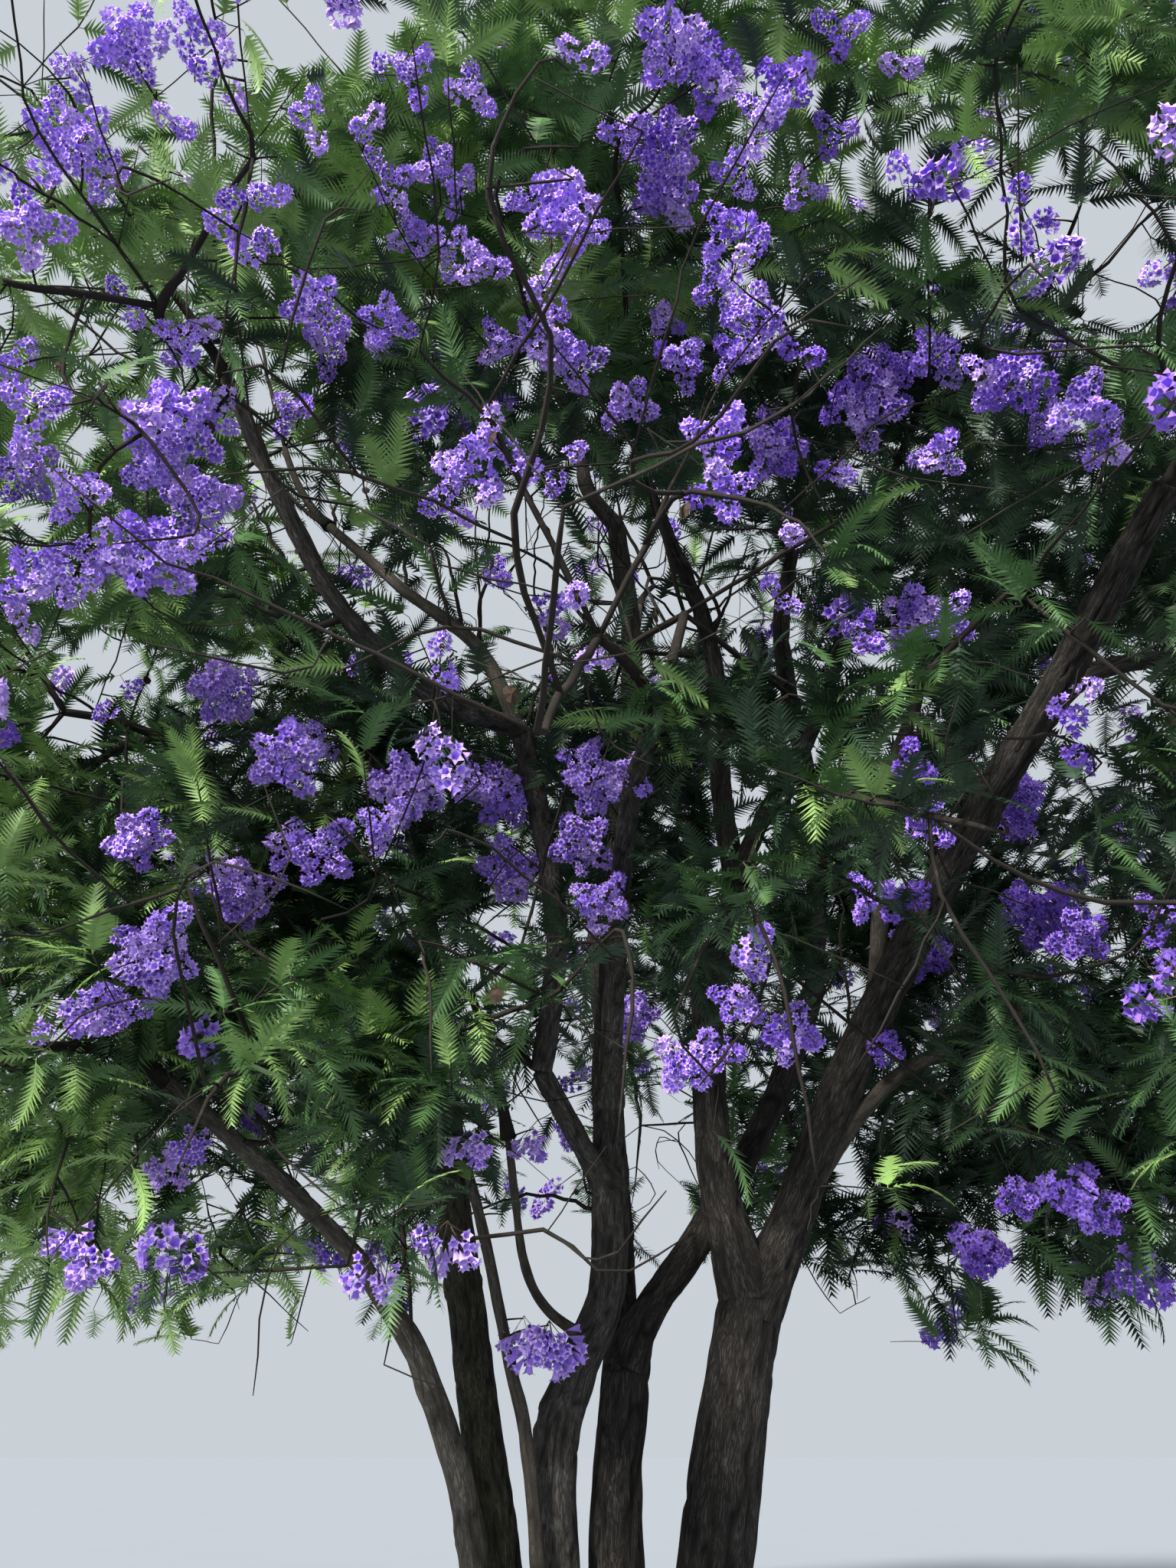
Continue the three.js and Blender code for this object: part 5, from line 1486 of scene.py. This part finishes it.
spur_reaches, panicle_shape = [], []
for across, down, size in CLUSTERS:
    centre, deep = foremost(across, down, max(size, LOOK_LEAST) + LOOK_ROUND, FOREMOST)
    radius = size * deep / FOCAL_PIXELS
    spur_reaches.append(grow_spur(centre, deep))
    assert spur_reaches[-1] is not None, (across, down)
    count = int(np.clip(round(PANICLES_PER_AREA * radius**2), *PANICLE_LIMITS))
    if down > LOOSE_BELOW and across < LOOSE_LEFT_OF:
        count = max(FEWEST_LOOSE, round(count * LOOSE_SHARE))
        shapes, rise = LOOSE_SHAPES, LOOSE_RISE
    else:
        shady = across > SHADY_RIGHT_OF and down > SHADY_BELOW
        sunny = across < SUNNY_LEFT_OF
        shapes = SHADY_SHAPES if shady else SUNNY_SHAPES if sunny else DENSE_SHAPES
        rise = LOW_RISE if centre[2] < LOW_CLUSTER else HIGH_RISE
    out = unit(unit(EYE - centre) * TO_VIEWER + unit(centre - CROWN_CENTRE) * OUTWARD)
    panicle_way.append(unit(spread_ways(count) * SPREAD + out * LEAN + np.array([0, 0, rise])))
    panicle_root.append(np.tile(centre - out * radius * SET_BACK, (count, 1)))
    panicle_size.append(np.full(count, np.clip(radius * FILLED / PANICLE_LENGTH, *SIZE_LIMITS)))
    panicle_shape.append(rng.choice(shapes, count))
    guards.append((across, down, size + CLUSTER_RIM, deep + CLUSTER_DEPTH, CLUSTER_KEPT))
GUARDS = np.array(guards)
print("clusters:", len(panicle_root), "longest spur:", round(max(spur_reaches), 2), "m, panicles:",
      sum(map(len, panicle_root)))

# %% [markdown]
# ## Tufts of leaves in the crown's front
#
# Where the picture shows neither sky nor limb nor flowers it shows green, as the crown's front
# is closed by umbrella-like tufts of leaves at the twigs' ends. The grown twigs leave chance holes
# there, so the picture is gone over in even steps. In each step that no guard keeps clear, a spur
# brings one more tuft to the foremost twigs. The bare stems of two low masses would cross the view
# as brown lines, so tufts on short spurs stand before them.

# %% Set the front tufts
# The left, upper, right and lower edge of each part of the picture, and the step, in pixels.
FRONT_PARTS = [(0, 0, 1536, 1640, 56), (380, 850, 1300, 1280, 32), (1050, 1240, 1536, 1600, 42),
               (0, 980, 560, 1600, 52)]
TUFT_JITTER, TUFT_ROOM, TUFT_FOREMOST = 14, 50, 0.2
FRONT_FRONDS = 8
TUFT_TO_VIEWER, TUFT_OUTWARD, TUFT_LIFT, TUFT_LEAN, COVER_LEAN = 0.6, 0.5, 0.35, 0.6, 0.3
COVERED_STEMS = ("foliage_low_front_right", "foliage_low_front_left")
THICK_TWIG = 0.010           # covered masses' twigs over this radius are covered as well
COVER_AHEAD, COVER_CHANCE = 0.10, 0.04   # how far before a stem its tufts stand, in metres
front_spot, front_way = [], []


def add_tuft(centre, out):
    front_spot.append(np.tile(centre, (FRONT_FRONDS, 1)))
    front_way.append(unit(spread_ways(FRONT_FRONDS) + out))


for left, upper, right, lower, step in FRONT_PARTS:
    grid = np.meshgrid(np.arange(left, right, step), np.arange(upper, lower, step))
    for place in np.stack(grid, -1).reshape(-1, 2):
        place = place + step / 2 + rng.normal(0, TUFT_JITTER, 2)
        centre, deep = foremost(*place, TUFT_ROOM, TUFT_FOREMOST)
        if centre is None or rng.random() < hides(centre[None])[0]:
            continue
        reach = grow_spur(centre, deep)
        if reach is not None:
            out = unit(EYE - centre) * TUFT_TO_VIEWER + unit(centre - CROWN_CENTRE) * TUFT_OUTWARD
            add_tuft(centre, unit(out + np.array([0, 0, TUFT_LIFT])) * TUFT_LEAN)
            spur_reaches.append(reach)
plain_tufts = len(front_spot)
for mass in masses:
    if mass["name"] not in COVERED_STEMS:
        continue
    thick = [mass["stem"].at(np.linspace(0.05, 1, 8))]
    thick += [centres[radii > THICK_TWIG] for centres, radii in mass["twigs"]]
    for foot in np.vstack(thick):
        centre = foot + unit(EYE - foot) * COVER_AHEAD + rng.normal(0, COVER_CHANCE, 3)
        spur = np.linspace(foot, centre, 3)
        plain_tube(twigs[side_at(centre)[0]], spur, np.linspace(*SPUR_RADII, 3), 3)
        add_tuft(centre, unit(EYE - centre) * COVER_LEAN)
print("tufts before stems:", len(front_spot) - plain_tufts)
front_spot, front_way = np.vstack(front_spot), np.vstack(front_way)
print("front tufts:", len(front_spot) // FRONT_FRONDS,
      "longest spur:", round(max(spur_reaches), 2), "m")

# %% [markdown]
# ## Where the other leaves and flowers grow
#
# Leaves stand in pairs along the thin end of a twig, and in a tuft at its tip. On the sides that
# the viewer does not see, a tip may flower instead, by its mass's share and the more so the
# further out it is, because a jacaranda flowers at the outside of its crown. Each spray is given
# one green for all its leaves, and the greens are painted light: a sunlit yellowish green at the
# outside and on the sunny side, darker painted shade greens inside.

# %% Collect the places on the twigs
LEAVES_EVERY = 2             # points of a twig between two pairs of leaves
LEAF_TWIG_RADIUS = 0.0058
BLOOM_SCALE, STRAY_BLOOM = 1.05, 0.06
HIGH_IN_VIEW, HIGH_STRAY = 620, 3        # above this line of the picture strays are commoner
SEEN_BEFORE = 0.6            # tips further back than this plane are not the viewer's
TOP_HEIGHT, TOP_OUTSIDE, TOP_BLOOM = 7.8, 0.85, 1.6
BLOOM_FROM, BLOOM_RUN = 0.45, 0.35       # how far out tips begin to flower, and flower in full
LEAFY_INSIDE, LEAFY_OUTSIDE = 0.25, 0.95

pairs, tips = [], []
for mass in masses:
    for centres, radii in mass["twigs"]:
        ahead = unit(np.gradient(centres, axis=0))
        thin = np.flatnonzero(radii < LEAF_TWIG_RADIUS)
        chosen = thin[thin < len(centres) - 1][::-LEAVES_EVERY][::-1]
        pairs += list(zip(centres[chosen], ahead[chosen]))
        tips.append((mass["index"], centres[-1], ahead[-1], centres[-2]))
for index, centres in bare_tips:
    tips.append((index, centres[-1], unit(centres[-1] - centres[-2]), centres[-2]))
pair_spot, pair_way = (np.array(part) for part in zip(*pairs))
tip_mass, tip_spot, tip_way, tip_before = (np.array(part) for part in zip(*tips))

leafy = np.clip(depth_of(pair_spot) * 2 - 0.5, LEAFY_INSIDE, LEAFY_OUTSIDE)
lit = rng.random(len(pair_spot)) < leafy
pair_spot, pair_way = pair_spot[lit], pair_way[lit]

seen, deep = in_picture(tip_spot)
outside = depth_of(tip_spot)
on_top = (tip_spot[:, 2] > TOP_HEIGHT) & (outside > TOP_OUTSIDE)
in_view = in_frame(seen, deep) & (tip_spot[:, 1] < SEEN_BEFORE) & ~on_top
bloom = np.array([mass["bloom"] for mass in masses])[tip_mass]
bloom = bloom * np.where(on_top, TOP_BLOOM, BLOOM_SCALE)
stray = np.where(seen[:, 1] < HIGH_IN_VIEW, STRAY_BLOOM * HIGH_STRAY, STRAY_BLOOM)
share = np.where(in_view, stray, bloom * np.clip((outside - BLOOM_FROM) / BLOOM_RUN, 0, 1))
flowers = (rng.random(len(tips)) < share) & (rng.random(len(tips)) >= hides(tip_spot))
print("pairs of leaves:", len(pair_spot), "tips:", len(tips), "in flower:", int(flowers.sum()))

# %% [markdown]
# ## Placing leaves, flowers and pods
#
# A leaf leaves its twig at a slant, lifts a little and then arches down. In code, each leaf gets
# a way to point, which is its twig's way, turned aside and a little up, and its upper side is kept
# towards the sky. Panicles stand up in the upper crown and nod where the crown hangs low.
# Leaves are a little longer far from the viewer, where fewer of them have to close the crown.

# %% Place the leaves, flowers and pods
FROND_LENGTH = (0.31, 0.44)
LIFE_SIZE_AT, SIZE_RANGE = 6.4, (0.72, 1.16)   # leaves grow with their distance, within limits
FROND_RISE, FROND_ROLL = 0.18, 0.22
PROBES = (0.35, 0.65, 1.0)   # the shares of a leaf that are tested against the guards
TUFT, FLOWERING_TUFT = 5, 2  # leaves at a plain tip, and at one that flowers
PAIR_SLANTS, TIP_SLANTS, ROUND_CHANCE = (0.75, 1.25), (0.35, 1.25), 0.3   # in radians
TIP_PANICLES = (0.95, 1.2)
UP = np.array([0, 0, 1.0])
# The three greens are painted light: a sunlit green, a half-shade green and a shade green, dealt
# out by how far out and how far to the sunny side a spray is.
SUNLIT, HALF_SHADE, FULL_SHADE = range(3)
SUNLIT_ABOVE, HALF_SHADE_ABOVE, LIGHT_CHANCE = 0.92, 0.66, 0.20
SUNNY_SIDE = np.array([-0.070, -0.024, 0.006])
COVER_EASE = 0.60            # how strictly the guards hold for tufts before stems
PROUD = 0.24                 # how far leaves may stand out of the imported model's box
BOX_LOW, BOX_HIGH = np.array(CAD_BOX)
NODDING_BELOW, NOD, STAND = 4.2, -0.35, 0.45


def aside(ways, turns, slants):
    """The ways, turned aside by slants, to a direction round them that turns choose."""
    level = unit(np.cross(ways, UP) + 1e-6)
    over = np.cross(level, ways)
    round_way = level * np.cos(turns)[:, None] + over * np.sin(turns)[:, None]
    return ways * np.cos(slants)[:, None] + round_way * np.sin(slants)[:, None]


def shade_of(spots):
    """Which green each spray wears, as painted light: sunlit at the outside and the crown's sunny
    side, shaded inside.
    """
    chance = rng.normal(0, LIGHT_CHANCE, len(spots))
    light = depth_of(spots) + (spots - CROWN_CENTRE) @ SUNNY_SIDE + chance
    return np.where(light > SUNLIT_ABOVE, SUNLIT, np.where(light > HALF_SHADE_ABOVE, HALF_SHADE, FULL_SHADE))


def place_fronds(spots, ways, shades, turns, slants, ease=1.0):
    """Sets a leaf at each spot, unless it would hide what the viewer must see."""
    pointing = unit(aside(ways, turns, slants) + UP * FROND_RISE)
    sizes = rng.uniform(*FROND_LENGTH, len(spots))
    sizes *= np.clip(in_picture(spots)[1] / LIFE_SIZE_AT, *SIZE_RANGE)
    sure = np.max([hides(spots + pointing * (sizes * share)[:, None]) for share in PROBES], axis=0)
    ends = spots + pointing * sizes[:, None]
    inside = ((ends > BOX_LOW - PROUD) & (ends < BOX_HIGH + PROUD)).all(1)
    kept = inside & (rng.random(len(spots)) >= sure * ease)
    turned = aim(pointing, UP + rng.normal(0, FROND_ROLL, pointing.shape))
    kinds = rng.integers(len(FRONDS), size=len(spots))
    sides = side_at(spots)
    for side in range(len(SIDES)):
        for kind, frond in enumerate(FRONDS):
            mine = kept & (sides == side) & (kinds == kind)
            leaves[side].scatter(frond, spots[mine], turned[mine], sizes[mine], shades[mine])


leaves = [Parts() for _ in SIDES]
pair_shade = shade_of(pair_spot)
pair_turn = rng.uniform(0, math.tau, len(pair_spot))
for half in (0, math.pi):
    turns = pair_turn + half + rng.normal(0, ROUND_CHANCE, len(pair_spot))
    slants = rng.uniform(*PAIR_SLANTS, len(pair_spot))
    place_fronds(pair_spot, pair_way, pair_shade, turns, slants)
tip_shade = shade_of(tip_spot)
tip_turn = rng.uniform(0, math.tau, len(tips))
for leaf in range(TUFT):
    some = ~flowers | (leaf < FLOWERING_TUFT)
    turns = tip_turn + leaf * math.tau / TUFT + rng.normal(0, ROUND_CHANCE, len(tips))
    slants = rng.uniform(*TIP_SLANTS, len(tips))
    place_fronds(tip_spot[some], tip_way[some], tip_shade[some], turns[some], slants[some])
front_shade = np.repeat(shade_of(front_spot[::FRONT_FRONDS] + UP), FRONT_FRONDS)
still = np.zeros(len(front_spot))
ease = np.where(np.arange(len(front_spot)) < plain_tufts * FRONT_FRONDS, 1.0, COVER_EASE)
place_fronds(front_spot, front_way, front_shade, still, still, ease)

# Each flowering tip bears two panicles: one at its end, and a smaller one that leans out below.
for root, slant, size in [(tip_spot, 0.15, 1.0), (tip_before * 0.5 + tip_spot * 0.5, 0.9, 0.85)]:
    poise = np.where(tip_spot[:, 2] > NODDING_BELOW, STAND, NOD)[:, None] * UP
    pointing = unit(aside(tip_way, tip_turn + 1, rng.uniform(0.8, 1.2, len(tips)) * slant) + poise)
    panicle_root.append(root[flowers])
    panicle_way.append(pointing[flowers])
    panicle_size.append(rng.uniform(*TIP_PANICLES, flowers.sum()) * size)
    panicle_shape.append(rng.integers(len(DENSE), size=flowers.sum()))

blossom = [Parts() for _ in SIDES]
root, way = np.vstack(panicle_root), np.vstack(panicle_way)
size = np.concatenate(panicle_size) * rng.uniform(0.9, 1.1, len(root))
turned = aim(way, rng.normal(0, 1, way.shape))
kinds = np.concatenate(panicle_shape)
for side in range(len(SIDES)):
    for kind, panicle in enumerate(PANICLES):
        mine = (side_at(root) == side) & (kinds == kind)
        blossom[side].scatter(panicle, root[mine], turned[mine], size[mine])

for kind, made in (("twig", twigs), ("leaf", leaves), ("blossom", blossom)):
    counts = [sum(map(len, parts.faces)) for parts in made]
    print(kind, "triangles:", dict(zip(SIDES, counts)), "in all", sum(counts))

# %% [markdown]
# ## Pods
#
# A pod is a flat round purse of wood, a little pointed at the far end, with a wavy rim where it
# will split. It is modelled as a rim of ten corners between two bulging middles. The pods that
# the viewer sees against the sky have places in the picture, and the others are dealt out by
# chance.

# %% Hang the pods
SEEN_PODS = [(378, 708), (661, 748), (661, 868), (860, 790), (347, 548), (655, 549), (1330, 1300)]
HIDDEN_PODS = 42
POD_RADIUS, POD_THICKNESS, POD_STALK = 0.027, 0.009, 0.05
POD_RIM, POD_POINT, STALK_RADIUS = 10, 1.1, 0.0022
RIM_WAVE, RIM_TWIST = 0.05, 0.002
TOO_FAR, FAR_COST = 6, 20    # twigs further away than this are chosen for a seen pod last


def make_pod():
    """A pod that hangs down from its stalk's upper end, at the origin."""
    turn = np.linspace(0, math.tau, POD_RIM, endpoint=False)
    wave = POD_RADIUS * (1 + RIM_WAVE * np.cos(turn * 3))
    rim = np.stack([wave * np.sin(turn), RIM_TWIST * np.cos(turn * 5),
                    -wave * np.cos(turn) * POD_POINT], -1)
    middle = np.array([0, 0, -POD_STALK - POD_RADIUS])
    bulge = np.array([0, POD_THICKNESS, 0])
    step = np.arange(POD_RIM)
    after = (step + 1) % POD_RIM
    pod = Parts()
    pod.add(np.vstack([rim + middle, middle - bulge, middle + bulge]),
            np.vstack([np.stack([step, after, np.full(POD_RIM, POD_RIM)], -1),
                       np.stack([after, step, np.full(POD_RIM, POD_RIM + 1)], -1)]))
    stalk = np.array([[0, 0, 0], [0.004, 0, -POD_STALK / 2], [0, 0, -POD_STALK]])
    plain_tube(pod, stalk, [STALK_RADIUS] * 3, 3)
    return pod.shape()


pod_points = []
for across, down in SEEN_PODS:
    away = np.hypot(*(point_seen - (across, down)).T)
    away += FAR_COST * np.maximum(point_deep - TOO_FAR, 0)
    pod_points.append(all_points[away.argmin()])
pod_points += list(all_points[rng.choice(len(all_points), HIDDEN_PODS, replace=False)])
swing = rng.uniform(0, math.tau, len(pod_points))
pod_turns = aim(np.stack([np.cos(swing), np.sin(swing), swing * 0], -1), UP)
pods = Parts()
pods.scatter(make_pod(), np.array(pod_points), pod_turns, rng.uniform(0.85, 1.15, len(pod_points)))
print("pods:", len(pod_points))

# %% [markdown]
# ## Leaf, petal and twig finishes
#
# Thousands of leaves in one joined mesh can't each carry a drawn pattern, and they don't need
# one. What shows is that whole sprays differ in green, so the three greens are three plain
# finishes, dealt out by spray, and a slow drift of tone keeps neighbouring leaves from
# matching exactly. The three greens are painted light: one sunlit green and two of painted shade.
# Petals are the same, in three lilacs that are partly their own tones and partly painted sunlight
# and shade, with a little sheen for their fine down.

# %% Make the finishes of leaves, petals and pods
def drifting_material(name, color, roughness, drift, scale, sheen=0.0):
    material, tree, shader = shader_material(name, roughness, specular=0.3)
    shader.inputs["Sheen Weight"].default_value = sheen
    tone = place_group(tree, TONE_DRIFT, Color=(*color, 1), Amount=drift, Scale=scale)
    tree.links.new(tone["Color"], shader.inputs["Base Color"])
    return material


# The three leaf greens are painted light: sunlit, half shade and deep shade.
LEAF_FINISHES = [drifting_material(name, color, 0.5, 0.45, 9.0) for name, color in (
    ("sunlit_leaf", (0.205, 0.338, 0.100)), ("half_shade_leaf", (0.068, 0.144, 0.046)),
    ("deep_shade_leaf", (0.019, 0.044, 0.021)))]
PETAL_FINISHES = [drifting_material("flower_stalk", (0.13, 0.10, 0.07), 0.8, 0.3, 30.0)]
# Lilacs partly the flowers' own and partly painted light: pale for sunlit petals, deep for petals
# in shade.
PETAL_FINISHES += [drifting_material(name, color, 0.6, 0.25, 14.0, sheen=0.15) for name, color in (
    ("sunlit_pale_petal", (0.640, 0.450, 0.990)), ("half_shade_petal", (0.470, 0.285, 0.960)),
    ("shaded_deep_petal", (0.280, 0.140, 0.740)))]
POD_FINISH = drifting_material("pod_wood", (0.045, 0.027, 0.016), 0.75, 0.4, 60.0)

for side, name in enumerate(SIDES):
    nodes = [mass["name"] for mass in masses if mass["side"] == side]
    settle(twigs[side].piece(f"twigs_{name}", [BARK_FINISHES["twig"]], smooth=True),
           nodes)
    settle(leaves[side].piece(f"leaves_{name}", LEAF_FINISHES), nodes)
    settle(blossom[side].piece(f"blossom_{name}", PETAL_FINISHES), nodes)
settle(pods.piece("pods", [POD_FINISH]), [mass["name"] for mass in masses])

# %% [markdown]
# ## Ground and light
#
# The tree stands on a plain pale floor under a wide soft sky. One warm key light stands for the
# sun, to the viewer's left, behind them and high, and its wide angle keeps the shadows soft. The
# background is pale, so that the crown's outline and its gaps read clearly.

# %% Set the floor and the lights
FLOOR_SIZE = 240
SKY_COLOUR, SKY_STRENGTH = (0.86, 0.93, 1.0, 1), 0.68
SUN_COLOUR, SUN_STRENGTH, SUN_ANGLE = (1.0, 0.96, 0.90), 7.5, math.radians(7)
SUN_FROM = Vector((-0.52, -0.80, 0.62))
scene = bpy.context.scene
scene.view_settings.view_transform = "Standard"

floor_mesh = bpy.data.meshes.new("floor")
half = FLOOR_SIZE / 2
floor_mesh.from_pydata([(-half, -half, 0), (half, -half, 0), (half, half, 0), (-half, half, 0)],
                       [], [(0, 1, 2, 3)])
floor = bpy.data.objects.new("floor", floor_mesh)
scene.collection.objects.link(floor)
floor_mesh.materials.append(drifting_material("pale_floor", (0.305, 0.332, 0.367), 0.9, 0.02, 0.6))

world = bpy.data.worlds.new("sky")
world.use_nodes = True
background = world.node_tree.nodes["Background"]
background.inputs["Color"].default_value = SKY_COLOUR
background.inputs["Strength"].default_value = SKY_STRENGTH
scene.world = world

sun_data = bpy.data.lights.new("key", "SUN")
sun_data.energy, sun_data.angle, sun_data.color = SUN_STRENGTH, SUN_ANGLE, SUN_COLOUR
sun = bpy.data.objects.new("key", sun_data)
sun.rotation_euler = SUN_FROM.to_track_quat("Z", "Y").to_euler()
scene.collection.objects.link(sun)
print("lights:", [light.name for light in bpy.data.lights])
